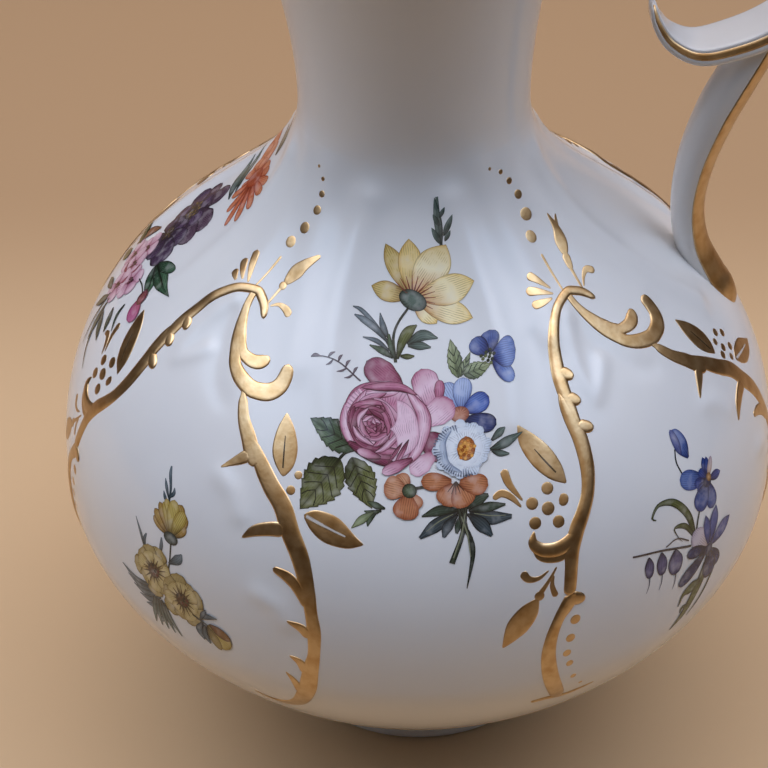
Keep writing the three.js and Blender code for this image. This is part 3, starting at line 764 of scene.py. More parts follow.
# A petal or leaf from its base; wave and teeth shape its sides, tipOnly leaves out the outlines of the sides
def addPetal(sheet, base, angle, reach, width, inks, kind="petal", bend=0.0, teeth=0, wave=0.0, line=0.8, veins=0,
             tipOnly=False):
    least, columns = printLook["petalGrid"]
    rows = max(least, int(reach * 3), teeth * 5)
    turn = math.radians(angle)

    def spot(u, v):
        half = np.maximum(width / 2 * petalWidth(kind, u), 0.02)
        if teeth:
            half = half * (1 + printLook["toothDepth"] * (1 - (u * teeth) % 1) * (u < printLook["toothEnd"]))
        half = half * (1 + wave * np.sin(u * printLook["ripple"] + angle))
        forward = u * reach - wave * reach * 0.5 * np.abs(v) * u
        sideways = v * half + bend * reach * np.sin(u * np.pi / 2) ** 2
        return (base[0] + forward * math.cos(turn) - sideways * math.sin(turn),
                base[1] + forward * math.sin(turn) + sideways * math.cos(turn), half)

    u = np.linspace(0, 1, rows)[:, None]
    v = np.linspace(-1, 1, columns)[None, :]
    x, y, half = spot(u, v)
    ribbed = kind in ("leaf", "blade")
    slant = printLook["leafSlant" if ribbed else "petalSlant"]
    ink = blendInks(inks, np.clip(u + slant * v, 0, 1), line)
    edge = (1 - u) * reach * printLook["tipLine"] + 0 * v
    if not tipOnly:
        edge = np.minimum((1 - np.abs(v)) * half, edge)
    if ribbed:
        edge = np.minimum(edge, printLook["rib"] + np.abs(v) * half)  # the middle rib is inked like an outline
    addPatch(sheet, x, y, ink, edge, u * reach, v * half)
    for k in range(veins):
        for side in (-1, 1):
            start = printLook["veinFrom"] + printLook["veinOver"] * k / veins
            run = [spot(np.array(start + printLook["veinRise"] * t), side * printLook["veinOut"] * t)
                   for t in (0.0, 0.5, 1.0)]
            addStem(sheet, [(float(a), float(b), printLook["veinWidth"]) for a, b, _ in run], inks[:1] * 2,
                    printLook["veinLine"], printLook["fineStep"])


# A petal seen as an arc round a centre, thickest in its middle and a little wavy
def addCup(sheet, centre, radius, thick, start, span, inks, line=0.9):
    least, columns = printLook["cupGrid"]
    t = np.linspace(0, 1, max(least, int(abs(span) / 4)))[:, None]
    k = np.linspace(0, 1, columns)[None, :]
    angle = np.radians(start + span * t)
    body = thick * np.sin(np.pi * t) ** 0.6 + 0.03
    reach = radius * (1 + 0.025 * np.sin(5 * angle + 9 * radius)) - (1 - k) * body
    x = centre[0] + reach * np.cos(angle)
    y = centre[1] + reach * np.sin(angle)
    ink = blendInks(inks, k + 0 * t, line)
    addPatch(sheet, x, y, ink, np.minimum(k, 1 - k) * body + 0 * t, angle * radius, k * body)


def addDisc(sheet, centre, wide, tall, inks, line=0.6, turn=0.0, step=1.0):
    rows, columns = printLook["discGrid" if wide > printLook["dotBelow"] else "dotGrid"]
    angle = np.linspace(0, 2 * math.pi, rows)[:, None]
    k = np.linspace(0, 1, columns)[None, :]
    px, py = wide * k * np.cos(angle), tall * k * np.sin(angle)
    c, s = math.cos(math.radians(turn)), math.sin(math.radians(turn))
    addPatch(sheet, centre[0] + c * px - s * py, centre[1] + s * px + c * py, blendInks(inks, k + 0 * angle, line),
             (1 - k) * min(wide, tall) + 0 * angle, k * wide + 0 * angle, angle * wide * 0.5 + 0 * k, step)


# A stem or narrow leaf through stations, each with its width
def addStem(sheet, stations, inks, line=0.5, step=1.0):
    least, columns = printLook["stemGrid"]
    path = smoothPath(stations, max(least, 5 * len(stations)))
    along = np.gradient(path[:, :2], axis=0)
    along /= np.linalg.norm(along, axis=1, keepdims=True) + 1e-9
    v = np.linspace(-1, 1, columns)[None, :]
    half = np.maximum(path[:, 2:3] / 2, 0.03)
    x = path[:, :1] - along[:, 1:] * v * half
    y = path[:, 1:2] + along[:, :1] * v * half
    share = np.linspace(0, 1, len(path))[:, None] + 0 * v
    addPatch(sheet, x, y, blendInks(inks, share, line), (1 - np.abs(v)) * half, share * 10, v * half, step)


def polar(centre, angle, reach):
    turn = math.radians(angle)
    return centre[0] + reach * math.cos(turn), centre[1] + reach * math.sin(turn)


# A fine line outwards from a centre
def ray(sheet, centre, angle, reaches, widths, inks, line):
    stations = [(*polar(centre, angle, reach), width) for reach, width in zip(reaches, widths)]
    addStem(sheet, stations, inks, line, printLook["fineStep"])


# Petals of angle, reach and width round a centre
def flower(sheet, centre, petals, inks, **look):
    for angle, reach, width in petals:
        start = 0.12 * reach
        addPetal(sheet, polar(centre, angle, start), angle, reach - start, width, inks, **look)


# Several sets of petals with their own inks
def blossom(sheet, centre, *sets, **look):
    for petals, inks in sets:
        flower(sheet, centre, petals, inks, **look)


# Even petals for a flower, with reaches that differ a little
def whorl(count, reach, width, first=0.0, uneven=0.08):
    return [(first + 360 * k / count, reach * (1 + uneven * math.sin(3.7 * k + first)), width) for k in range(count)]


# Leaves of base, angle, reach and width
def leaves(sheet, items, inks, **look):
    for x, y, angle, reach, width in items:
        addPetal(sheet, (x, y), angle, reach, width, inks, **look)


def strokes(sheet, items, inks, line=0.8):
    for stations in items:
        addStem(sheet, stations, inks, line, printLook["strokeStep"])


# Small touches of colour round a flower's eye
def eyeDots(sheet, centre, wide, tall, count, inks, size=0.33):
    for k in range(count):
        a, far = 2.4 * k, math.sqrt((k + 0.5) / count)
        addDisc(sheet, (centre[0] + wide * far * math.cos(a), centre[1] + tall * far * math.sin(a)), size, size,
                (inks[k % len(inks)],) * 2, line=0.3, step=printLook["eyeStep"])


# Inks of the leaves, each from base to tip
green = {
    "dark": ("#2C3B30", "#4A5F47", "#66795A"), "olive": ("#3B4429", "#656B3D", "#81835A"),
    "grey": ("#3A4844", "#5F716B", "#8A9A93"), "slate": ("#3B474B", "#5F6E76", "#8F9BA2"),
    "night": ("#20272A", "#424D52", "#5C686E"), "pale": ("#5C6B48", "#9AA67E", "#B7BF9C"),
    "stem": ("#3F453B", "#5A5F4E"),
}


# A rose in profile: open outer petals, arcs closing round a heart at its left, one broad pale petal at its right
def rose(sheet, dusk, deep, mid, pale):
    addPetal(sheet, (-2.6, 4.6), 142, 8.6, 5.6, (deep, "#AC6680", deep), wave=0.03)
    addPetal(sheet, (3.0, 1.6), 106, 7.6, 5.2, (mid, pale, mid), wave=0.03)
    addPetal(sheet, (4.4, 2.0), 98, 4.6, 2.0, (deep, mid, mid), bend=-0.1)
    addPetal(sheet, (1.4, -1.6), 38, 6.8, 5.2, (pale, pale, mid), wave=0.03, line=0.3)
    addPetal(sheet, (1.0, -3.6), -40, 6.4, 5.4, (deep, deep, mid), wave=0.03)
    addPetal(sheet, (3.4, -7.0), -140, 6.0, 3.4, (mid, pale, pale), wave=0.04, line=0.3)
    addDisc(sheet, (-5.6, -1.5), 8.1, 7.9, (mid, mid, pale), line=0.9)
    for radius, thick, start, span, inks in (
            (8.0, 3.4, 86, 96, (pale, mid, mid)), (8.1, 2.2, 158, 66, (mid, pale, mid)),
            (7.9, 2.6, 208, 80, (dusk, deep, dusk)), (6.9, 2.4, 64, 70, (mid, pale, mid)),
            (6.8, 2.0, 118, 92, (mid, pale, mid)), (6.6, 2.4, 196, 90, (dusk, deep, mid)),
            (5.9, 1.6, 84, 80, (deep, mid, pale)), (5.8, 1.6, 160, 70, (deep, pale, mid)),
            (5.8, 1.8, 226, 76, (dusk, mid, mid))):
        addCup(sheet, (-6.0, -1.6), radius, thick, start, span, inks, line=0.8)
    for ring in range(8):  # heart
        centre = (-8.2 + 0.35 * math.cos(2.1 * ring), -2.0 + 0.35 * math.sin(2.1 * ring))
        for petal in range(4):
            inks = ((deep, mid, pale), (deep, mid, mid), (deep, deep, mid), (deep, pale, mid))[(ring + petal) % 4]
            addCup(sheet, centre, 5.0 - 0.58 * ring + 0.2 * math.sin(5 * petal),
                   1.5 - 0.08 * ring + 0.4 * (petal == ring % 4),
                   90 * petal + 47 * ring, 96 + 14 * ((ring + petal) % 3), inks)
    addCup(sheet, (-5.0, -2.0), 7.7, 2.8, -72, 138, (mid, pale, mid), line=0.8)
    addCup(sheet, (-5.4, -1.6), 7.9, 1.8, 44, 84, (deep, mid, mid), line=0.8)
    addCup(sheet, (-5.4, -2.7), 6.0, 5.4, -70, 142, (pale, pale, pale), line=0.6)
    addPetal(sheet, (-1.4, -4.4), -118, 6.6, 1.0, (deep, mid, pale), kind="blade", line=0.9)
    addPetal(sheet, (-2.6, -5.0), -124, 5.0, 0.7, (deep, mid, mid), kind="blade", line=0.9)
    addPetal(sheet, (-0.8, -8.0), -153, 6.4, 2.2, (deep, mid, pale), wave=0.03)
    addPetal(sheet, (-6.6, -8.0), 168, 4.6, 1.8, (deep, mid, pale), wave=0.03)


# Large bouquet: rose, yellow poppy, two blue flowers, white daisy, two small orange ones
def roseBouquet():
    sheet = newSheet(0.0, 119.0)
    addStem(sheet, ((5.0, 31.6, 0.6), (4.6, 36, 0.6), (4.1, 41.6, 0.5)), green["grey"])
    leaves(sheet, ((5.0, 32, 98, 9.6, 1.5), (4.9, 32.5, 118, 3.8, 1.1), (5.4, 34, 68, 4.2, 1.2),
                   (5.6, 33, 62, 2.2, 0.9), (4.6, 36, 118, 2.6, 0.9), (4.6, 37.5, 65, 2.2, 0.8)), green["grey"],
           kind="blade", line=0.4)
    addStem(sheet, ((-1.3, 20.7, 0.45), (-3.3, 17.7, 0.45), (-4.2, 14.7, 0.5), (-3.8, 10.0, 0.6)), green["stem"])
    strokes(sheet, (((-3.9, 10.9, 0.4), (-5.5, 14.1, 0.6), (-7.9, 17.3, 0.9), (-10.3, 19.5, 0.9), (-11.9, 19.9, 0.2)),
                    ((-5.2, 13.8, 0.4), (-7.6, 16.3, 1.4), (-9.8, 17.7, 1.4), (-11.6, 18.4, 0.3)),
                    ((-5.1, 14.6, 0.4), (-6.1, 16.7, 1.3), (-6.7, 19.4, 0.2)),
                    ((-5.0, 12.2, 0.4), (-7.3, 13.9, 1.0), (-10.0, 14.4, 0.2))), green["slate"])
    strokes(sheet, (((-4.3, 10.9, 0.5), (-6.3, 12.1, 1.4), (-8.7, 13.0, 0.3)),
                    ((-3.9, 10.6, 0.5), (-4.7, 13.0, 1.1), (-5.1, 15.4, 0.5))), green["dark"])
    strokes(sheet, (((-3.5, 10.7, 0.5), (-2.6, 13.9, 1.7), (-1.3, 16.1, 2.0), (0.2, 17.3, 0.3)),
                    ((-2.9, 11.3, 0.5), (-1.6, 11.2, 1.1), (-0.3, 11.3, 0.3))), green["olive"])
    strokes(sheet, (((-1.6, 13.6, 0.5), (1.2, 15.3, 2.2), (4.1, 14.6, 0.3)),
                    ((-1.5, 13.3, 0.5), (0.7, 13.3, 1.7), (2.8, 12.9, 0.3))), green["grey"])
    poppy = (-0.6, 22.5)
    blossom(sheet, poppy, (((166, 8.0, 4.0), (116, 11.4, 3.8)), ("#8E6C42", "#D8BE80", "#C8AE66")),
            (((93, 11.4, 4.6),), ("#A87E48", "#EED494", "#E4C680")),
            (((57, 11.8, 6.8),), ("#CA8E58", "#FBEDC4", "#E6C986")),
            (((-48, 6.8, 3.6), (-23, 12.4, 4.6), (10, 11.9, 6.0)), ("#C89458", "#FAEABC", "#F4DA98")),
            kind="point", line=0.6)
    for angle in range(-30, 150, 15):  # stamens
        ray(sheet, poppy, angle, (1.2, 4.4), (0.35, 0.12), ("#8E4334", "#B9755A"), 0.2)
    addDisc(sheet, (-0.5, 22.1), 2.8, 1.9, ("#64766D", "#45544D"), turn=-30)
    sheet["layer"] = 0  # these stand clear of the flower above
    addStem(sheet, ((-20, 8.7, 0.25), (-17.4, 9.2, 0.25), (-14.2, 8.6, 0.3), (-10.4, 5.9, 0.35)),
            ("#6F6A72", "#7A6A74"), line=0.2)
    strokes(sheet, (((-20.2, 8.6, 0.2), (-19.2, 9.2, 0.6), (-18.0, 9.1, 0.2)),
                    ((-16.6, 9.2, 0.2), (-16.0, 10.0, 0.5), (-15.2, 10.5, 0.1)),
                    ((-15.6, 9.0, 0.2), (-16.2, 8.2, 0.4), (-17.0, 7.7, 0.1)),
                    ((-14.6, 8.8, 0.2), (-14.3, 9.7, 0.5), (-13.8, 10.3, 0.1)),
                    ((-13.2, 8.1, 0.2), (-12.9, 9.0, 0.5), (-12.3, 9.6, 0.1)),
                    ((-13.0, 7.9, 0.2), (-14.0, 7.2, 0.4), (-14.9, 6.9, 0.1)),
                    ((-11.8, 7.1, 0.2), (-11.4, 8.0, 0.5), (-10.9, 8.5, 0.1)),
                    ((-11.8, 7.0, 0.2), (-12.6, 6.3, 0.4), (-13.5, 6.0, 0.1))), ("#7E7480", "#A6969C"), line=0.4)
    sheet["layer"] = 0
    addStem(sheet, ((-14.9, -9.8, 0.5), (-13, -7.7, 0.5), (-9, -6.2, 0.7)), green["stem"])
    leaves(sheet, ((-10.8, -6.6, 157, 10.2, 5.4),), green["dark"], kind="leaf", teeth=8, veins=4)
    leaves(sheet, ((-14.2, -9.0, -127, 13.2, 6.8), (-12.0, -8.4, -68, 9.8, 5.4)), green["olive"], kind="leaf",
           teeth=8, veins=4)
    leaves(sheet, ((7.9, 6.6, 101, 7.8, 2.6), (8.2, 6.8, 66, 5.0, 1.4), (8.8, 7.2, 12, 5.4, 3.0)), green["pale"],
           kind="leaf", teeth=7, veins=3)
    blossom(sheet, (13.9, 9.9), (((90, 4.8, 3.8), (133, 5.0, 3.4)), ("#222E66", "#465A98", "#6C80B6")),
            (((-52, 7.2, 2.8),), ("#2A3A7A", "#5A73B4", "#7C92C8")),
            (((0, 5.2, 6.0),), ("#243276", "#667EBE", "#4E68AC")))
    eyeDots(sheet, (13.5, 9.7), 1.5, 1.4, 12, ("#56644A", "#8C9468", "#3D4A3C"))
    flower(sheet, (8.3, -0.9), ((-19, 6.9, 3.6),), ("#1A2450", "#34447A", "#2E3C70"))
    blossom(sheet, (8.2, 0.1), (((118, 6.6, 3.6), (85, 6.6, 3.7)), ("#6A7FB6", "#A6B6DB", "#B9C6E4")),
            (((23, 5.8, 4.0),), ("#32468E", "#6680C2", "#4C66B0")))
    addDisc(sheet, (8.0, -0.2), 1.8, 1.5, ("#C58A72", "#B47A68"), line=0.3)
    strokes(sheet, (((13.9, -5.8, 0.5), (15.4, -4.6, 1.6), (16.4, -3.9, 0.3)),
                    ((13.6, -7.4, 0.5), (16.6, -6.6, 2.0), (19.9, -5.4, 0.2)),
                    ((14.0, -7.7, 0.5), (15.6, -8.4, 1.2), (17.3, -8.8, 0.3))), green["grey"])
    rose(sheet, "#6E2E4A", "#883C5C", "#C4809C", "#EAC8D8")
    addStem(sheet, ((-0.4, -13.4, 0.45), (1.6, -13.2, 0.45), (3.6, -13.8, 0.45)), green["stem"])
    blossom(sheet, (-1.5, -14.1),
            (((124, 3.8, 3.4), (-59, 3.6, 2.8), (166, 4.7, 4.4)), ("#B06E50", "#CE9876", "#C48866")),
            (((-100, 5.2, 4.8),), ("#A65E3E", "#C27E58", "#B8724E")), line=0.1)
    addDisc(sheet, (-1.4, -13.9), 1.35, 1.35, ("#66755A", "#3A4533"))
    orange, daisy = (7.1, -12.5), (8.3, -6.7)
    flower(sheet, orange, ((177, 6.4, 3.4), (-118, 4.8, 4.5), (-66, 5.2, 4.6), (-13, 6.2, 3.9)),
           ("#A05A38", "#C2805A", "#BA764E"), line=0.15)
    for angle in (-130, -110, -90, -70, -50):
        ray(sheet, orange, angle, (0.0, 2.4), (0.3, 0.12), ("#4A3326", "#7A5440"), 0.1)
    addDisc(sheet, daisy, 4.3, 4.3, ("#DDE3EC", "#DDE3EC"), line=0.0)
    for shift, petals, line, inks in ((0.0, whorl(21, 5.25, 2.0, 8), 0.5, ("#9DABC4", "#D5DDE9", "#DDE4EE")),
                                      (0.3, whorl(17, 4.3, 1.9, 20), 0.3, ("#B2BDD0", "#E2E8F0", "#E6EBF2")),
                                      (0.5, whorl(13, 3.4, 1.8, 3), 0.15, ("#A3AFC4", "#E6EBF2", "#EAEDF3"))):
        flower(sheet, (daisy[0] + shift, daisy[1]), petals, inks, kind="fan", line=line, tipOnly=True)
    addCup(sheet, (8.4, -6.7), 4.3, 1.3, 118, 150, ("#98A5BC", "#BCC7D8", "#D5DDE8"), line=0.15)
    for angle in range(105, 300, 6):  # finely drawn dark side of the daisy
        far = 5.0 + 0.35 * math.sin(angle)
        near = far - 1.0 - 0.6 * math.sin(3 * angle)
        ray(sheet, daisy, angle, (near, far), (0.1, 0.26), ("#A9B3C8", "#66708A"), 0.0)
    addDisc(sheet, (9.1, -6.7), 1.7, 2.2, ("#E2A44C", "#D8923E", "#A8703C"), line=0.3)
    eyeDots(sheet, (9.1, -6.7), 1.6, 2.1, 22, ("#F2C26A", "#BE7430", "#E09E46"))
    sheet["layer"] = 6
    strokes(sheet, (((-5.9, -17.3, 0.4), (-7.6, -16.8, 1.3), (-9.2, -16.2, 0.2)),
                    ((-6.6, -17.7, 0.4), (-8.4, -18.2, 1.0), (-9.8, -18.0, 0.2)),
                    ((-7.6, -18.2, 0.4), (-8.8, -19.4, 1.1), (-9.2, -20.8, 0.2))), green["dark"])
    strokes(sheet, (((-8.0, -18.0, 0.4), (-10.2, -19.6, 1.5), (-12.2, -21.4, 0.2)),), green["pale"])
    sheet["layer"] = 16
    strokes(sheet, (((7.6, -18.0, 0.4), (3.6, -20.2, 2.5), (0.4, -22.6, 0.6)),
                    ((7.4, -18.6, 0.4), (5.6, -20.6, 2.0), (4.8, -22.6, 0.6)),
                    ((9.6, -18.4, 0.4), (13.4, -19.8, 2.6), (17.6, -20.2, 0.8)),
                    ((9.2, -18.6, 0.4), (11.8, -20.8, 2.5), (13.8, -23.2, 0.6))), green["night"])
    strokes(sheet, (((7.6, -17.8, 0.4), (4.2, -17.6, 2.0), (0.8, -18.6, 0.3)),
                    ((9.0, -17.6, 0.4), (11.2, -16.2, 2.4), (13.2, -15.6, 0.6)),
                    ((9.4, -18.0, 0.4), (13.0, -17.8, 1.9), (16.4, -17.8, 0.4)),
                    ((8.6, -18.0, 0.4), (7.6, -20.4, 1.4), (7.2, -22.0, 0.5))), ("#1E2823", "#3A4A3E", "#4E5E50"))
    strokes(sheet, (((7.4, -16.3, 0.7), (8.3, -20.2, 0.8), (9.6, -22.8, 0.9), (10.2, -26.2, 0.9), (9.1, -32.7, 0.15)),
                    ((9.0, -16.8, 0.7), (8.3, -22.1, 0.9), (6.3, -27.6, 1.1)),
                    ((8.2, -16.6, 0.5), (9.0, -21, 0.6), (10, -24, 0.3))), green["stem"])
    strokes(sheet, (((8.1, -19, 0.2), (9.2, -22.4, 0.28), (9.8, -26.6, 0.2)),
                    ((8.8, -18.4, 0.2), (8.1, -22.2, 0.28), (6.6, -26.6, 0.25)),
                    ((6.6, -18.4, 0.12), (4.0, -19.6, 0.2), (1.6, -21.4, 0.1)),
                    ((10.4, -18.6, 0.12), (13.4, -19.4, 0.2), (16.4, -19.8, 0.1))), ("#9A9C82", "#A9AA92"),
            line=0.0)  # lights left along the stems
    return sheet


# The other large bouquet: a fringed orange flower at the top, purple anemones, small pink flowers, a magenta bud
def anemoneBouquet():
    sheet = newSheet(-90.0, 119.0)
    strokes(sheet, (((0.6, 35.6, 0.4), (-1.5, 39.2, 3.2), (-3.4, 43.4, 0.2)),
                    ((0.2, 35.4, 0.3), (-3.4, 38.2, 1.8), (-6.0, 39.6, 0.2))), green["grey"])
    strokes(sheet, (((1.0, 21.0, 0.4), (-5.0, 22.6, 3.2), (-11.8, 25.3, 0.3)),
                    ((0.4, 22.6, 0.3), (-6.6, 25.6, 2.2), (-12.4, 28.6, 0.2))), green["grey"])
    fire = ("#A84E36", "#D47A54", "#DA926E")
    fringed, upper, lower = (0.6, 28.8), (-5.4, 9.8), (-3.0, 3.2)
    flower(sheet, fringed, ((152, 13.0, 4.6), (163, 10.5, 4.0), (138, 9.0, 4.2), (178, 7.0, 3.6)), fire, line=0.5)
    flower(sheet, fringed, whorl(6, 5.0, 3.0, -150, 0.12), fire, kind="fan", line=0.5)
    flower(sheet, fringed, ((62, 5.2, 2.6), (30, 7.2, 2.6), (8, 8.4, 2.4), (-14, 10.4, 2.2), (-32, 12.4, 2.0),
                            (-46, 13.0, 1.6), (-60, 9.6, 1.8), (-84, 7.0, 2.2)), fire, kind="fan", line=0.5)
    addDisc(sheet, (0.8, 28.8), 2.6, 2.6, ("#A84E34", "#C0603C"), line=0.0)
    plum = ("#342332", "#523D4F", "#654F60")
    sheet["layer"] = 0  # these stand clear of the flower above
    flower(sheet, upper, ((82, 11.0, 5.6), (125, 8.2, 5.2), (175, 7.4, 5.6), (-120, 7.4, 5.6), (27, 11.8, 6.8),
                          (-2, 12.0, 6.0), (-45, 8.0, 6.2)), plum, wave=0.03, line=0.6)
    flower(sheet, upper, whorl(5, 6.2, 4.6, 20, 0.1), ("#3B2A3E", "#5A4560", "#604C68"), wave=0.03, line=0.3)
    addDisc(sheet, upper, 2.6, 2.4, ("#5A4A44", "#4E3C50"), line=0.0)
    eyeDots(sheet, upper, 3.0, 2.4, 18, ("#8A7444", "#6A573C", "#A08A52"), size=0.45)
    flower(sheet, lower, ((130, 5.0, 4.6), (180, 5.2, 4.6), (36, 9.0, 5.6), (-8, 10.4, 7.4), (-48, 7.6, 6.2),
                          (-92, 6.6, 5.6)), ("#2A1E32", "#46344C", "#56445E"), wave=0.03, line=0.5)
    addDisc(sheet, lower, 2.0, 1.8, ("#57483E", "#46344A"), line=0.0)
    eyeDots(sheet, lower, 2.2, 1.6, 12, ("#7C6A40", "#5A4A3C"), size=0.4)
    leaves(sheet, ((6.6, 0.9, -24, 9.8, 4.0), (6.8, 1.1, 5, 13.4, 4.2)), ("#2B4334", "#3F6149", "#587A60"),
           kind="leaf")
    leaves(sheet, ((6.6, 1.4, 31, 7.8, 3.2),), ("#26392E", "#36533F", "#4A6B54"), kind="bud")
    strokes(sheet, (((7.0, 0.6, 0.35), (11.0, -1.0, 0.3), (14.4, -2.6, 0.15)),
                    ((7.0, 1.1, 0.35), (13.0, 1.8, 0.3), (18.4, 2.3, 0.15))), ("#22362B", "#22362B"))
    for x, y in ((-3.4, -3.6), (-6.0, -8.6), (-1.1, -7.2), (4.9, -7.4), (1.6, -12.4)):
        flower(sheet, (x, y), whorl(5, 4.4, 4.0, 18 + 11 * x, 0.1), ("#A85E80", "#D9B0C2", "#E4C9D4"), line=0.4)
        eyeDots(sheet, (x, y), 1.0, 1.0, 5, ("#7A2F4C", "#5E2440"), size=0.5)
    strokes(sheet, (((-9, -1.0, 0.6), (-11, -5.0, 2.6), (-11.6, -10.0, 0.6)),), ("#8A5A40", "#A87A5C"))
    strokes(sheet, (((-4.4, -9.8, 0.4), (-2.6, -10.4, 1.2), (-0.8, -9.8, 0.3)),
                    ((2.0, -8.6, 0.4), (2.4, -9.8, 1.2), (2.2, -11, 0.3)),
                    ((1.6, -4.6, 0.4), (2.2, -6.0, 1.0), (2.0, -7.4, 0.3))), ("#9A2E58", "#B04A72"), line=0.3)
    leaves(sheet, ((-10, -8, 170, 8, 3.6), (-9, -12, -150, 7, 3.0)), green["olive"], kind="leaf", teeth=7, veins=3)
    addStem(sheet, ((7, -4.4, 0.35), (10.4, -3.6, 0.35), (14.4, -3.8, 0.35)), green["stem"])
    addPetal(sheet, (14.2, -4.2), -48, 6.4, 4.4, ("#8E2A54", "#BB5E8A", "#C97FA2"), kind="bud", line=0.3)
    addPetal(sheet, (12.8, -2.4), -36, 4.4, 3.8, ("#5E1832", "#86284A"), kind="bud", line=0.3)
    strokes(sheet, (((3.5, -15, 0.6), (6, -19, 0.7), (10, -24, 0.6), (15.6, -27, 0.2)),
                    ((1.5, -15, 0.6), (3.5, -21, 0.7), (6.5, -27, 0.3)),
                    ((11.6, -9.2, 0.4), (12.8, -12.0, 0.9), (16.0, -14.4, 0.2))), green["dark"])
    strokes(sheet, (((4, -16, 0.5), (6.4, -20, 2.4), (8.6, -24, 0.3)),
                    ((2, -15.5, 0.5), (0, -19, 2.4), (-2, -22.4, 0.3)),
                    ((6, -17, 0.5), (9.6, -18.6, 2.2), (13.4, -20, 0.3)),
                    ((0, -15, 0.5), (-4, -16.6, 2.4), (-7, -17.6, 0.3)),
                    ((9, -13, 0.5), (11.4, -15, 1.8), (13.6, -17, 0.3))), ("#33433A", "#4E6152"))
    return sheet


# Spray of the left small panel: an opening yellow flower over two full ones, with a bud
def yellowSpray():
    sheet = newSheet(-40.0, 82.0)
    ochre, lemon = ("#5C4A2C", "#A8925A", "#BEA86E"), ("#7A6434", "#C8B264", "#CCB66E")
    strokes(sheet, (((-1.0, 16.2, 0.5), (-1.6, 19.2, 0.6), (-3.0, 22.0, 0.8), (-3.4, 23.4, 0.4)),
                    ((-1.4, 17.4, 0.3), (-2.8, 19.2, 0.8), (-3.8, 20.6, 0.2)),
                    ((-1.6, 17.4, 0.3), (-0.6, 18.8, 0.9), (-0.8, 20.0, 0.2)),
                    ((-1.2, 16.2, 0.3), (-2.4, 17.2, 0.8), (-3.2, 18.2, 0.2))), green["slate"], 0.3)
    addStem(sheet, ((1.6, 9.4, 0.4), (2.0, 5.4, 0.4), (1.8, 2.4, 0.4)), green["stem"])
    strokes(sheet, (((1.8, 4.4, 0.4), (4.0, 6.4, 2.2), (4.8, 8.0, 0.4)),
                    ((-0.8, 5.0, 0.4), (-0.7, 7.2, 1.0), (-1.0, 9.0, 0.3)),
                    ((-5.2, 4, 0.3), (-6.6, 6.4, 0.8), (-9.0, 9.4, 0.2)),
                    ((-5.0, 4.2, 0.3), (-5.6, 6.0, 0.9), (-5.2, 7.6, 0.4))), green["slate"], 0.3)
    flower(sheet, (1.5, 10.2), ((160, 6.0, 2.2), (148, 6.8, 2.2), (66, 6.4, 3.0), (50, 4.8, 2.4), (132, 7.4, 2.0),
                                (84, 7.6, 3.2)), ("#5E4A28", "#B08E50", "#BC9E5E"), line=0.8)
    flower(sheet, (1.5, 10.2), ((116, 7.8, 2.2), (124, 7.2, 1.2), (100, 7.8, 3.2), (75, 6.8, 3.0)), lemon, line=0.5)
    addDisc(sheet, (1.4, 10.0), 1.9, 1.3, ("#6A726C", "#434C46"))
    strokes(sheet, [((-2 + 0.6 * k, -3.6 - 0.6 * k, 0.6), (-7.4 + 1.3 * k, -5.4 - 0.9 * k, 1.5),
                     (-12.6 + 1.9 * k, -4.4 - 1.4 * k, 0.2)) for k in range(7)], green["slate"], 0.5)
    strokes(sheet, [((0.7 * k - 2, -6.2, 0.6), (1.2 * k - 2.4, -10.0, 1.3),
                     (1.9 * k - 2.6, -14.0 + 0.2 * k, 0.3)) for k in range(5)], green["grey"], 0.6)
    for x, y in ((-2.1, 0.4), (6.0, -2.4)):
        flower(sheet, (x, y), whorl(9, 5.8, 4.4, 14 + 9 * x, 0.12), ochre, kind="fan", wave=0.05, line=0.9)
        flower(sheet, (x, y), whorl(7, 4.5, 3.6, 40 + 9 * x, 0.14), ("#684E2A", "#CCB67C", "#D6C48E"), kind="fan",
               wave=0.05, line=0.6)
        for k in range(16):
            ray(sheet, (x, y), 22.5 * k + 9 * x, (0.8, 3.0 + 0.7 * math.sin(7 * k)), (0.5, 0.15),
                ("#5A3E22", "#9A7C48"), 0.2)
        addDisc(sheet, (x, y), 1.7, 1.7, ("#4E341E", "#6E4E2C"), line=0.0)
        eyeDots(sheet, (x, y), 1.5, 1.5, 10, ("#3E2818", "#7A4A2A", "#8A3E2A"))
    addStem(sheet, ((8.6, -4.6, 0.4), (11, -5.2, 0.4), (13.6, -6.0, 0.4)), green["stem"])
    strokes(sheet, (((10.4, -4.8, 0.4), (12.0, -3.4, 1.4), (14.6, -2.8, 0.2)),
                    ((10.6, -4.8, 0.4), (11.2, -3.2, 1.2), (11.8, -1.8, 0.2)),
                    ((11, -5.4, 0.4), (10.2, -7.8, 1.8), (11.4, -10.0, 0.4)),
                    ((11.6, -5.8, 0.4), (11.6, -8.4, 1.5), (12.8, -10.4, 0.3))), green["slate"])
    addPetal(sheet, (12.4, -5.4), -40, 6.6, 5.2, lemon, kind="bud", line=0.6)
    addPetal(sheet, (12.2, -5.8), -58, 6.0, 2.4, ochre, kind="bud", line=0.7)
    addPetal(sheet, (12.8, -5.0), -24, 5.4, 2.4, ("#7A4A2A", "#A87C4A"), kind="bud", line=0.6)
    return sheet


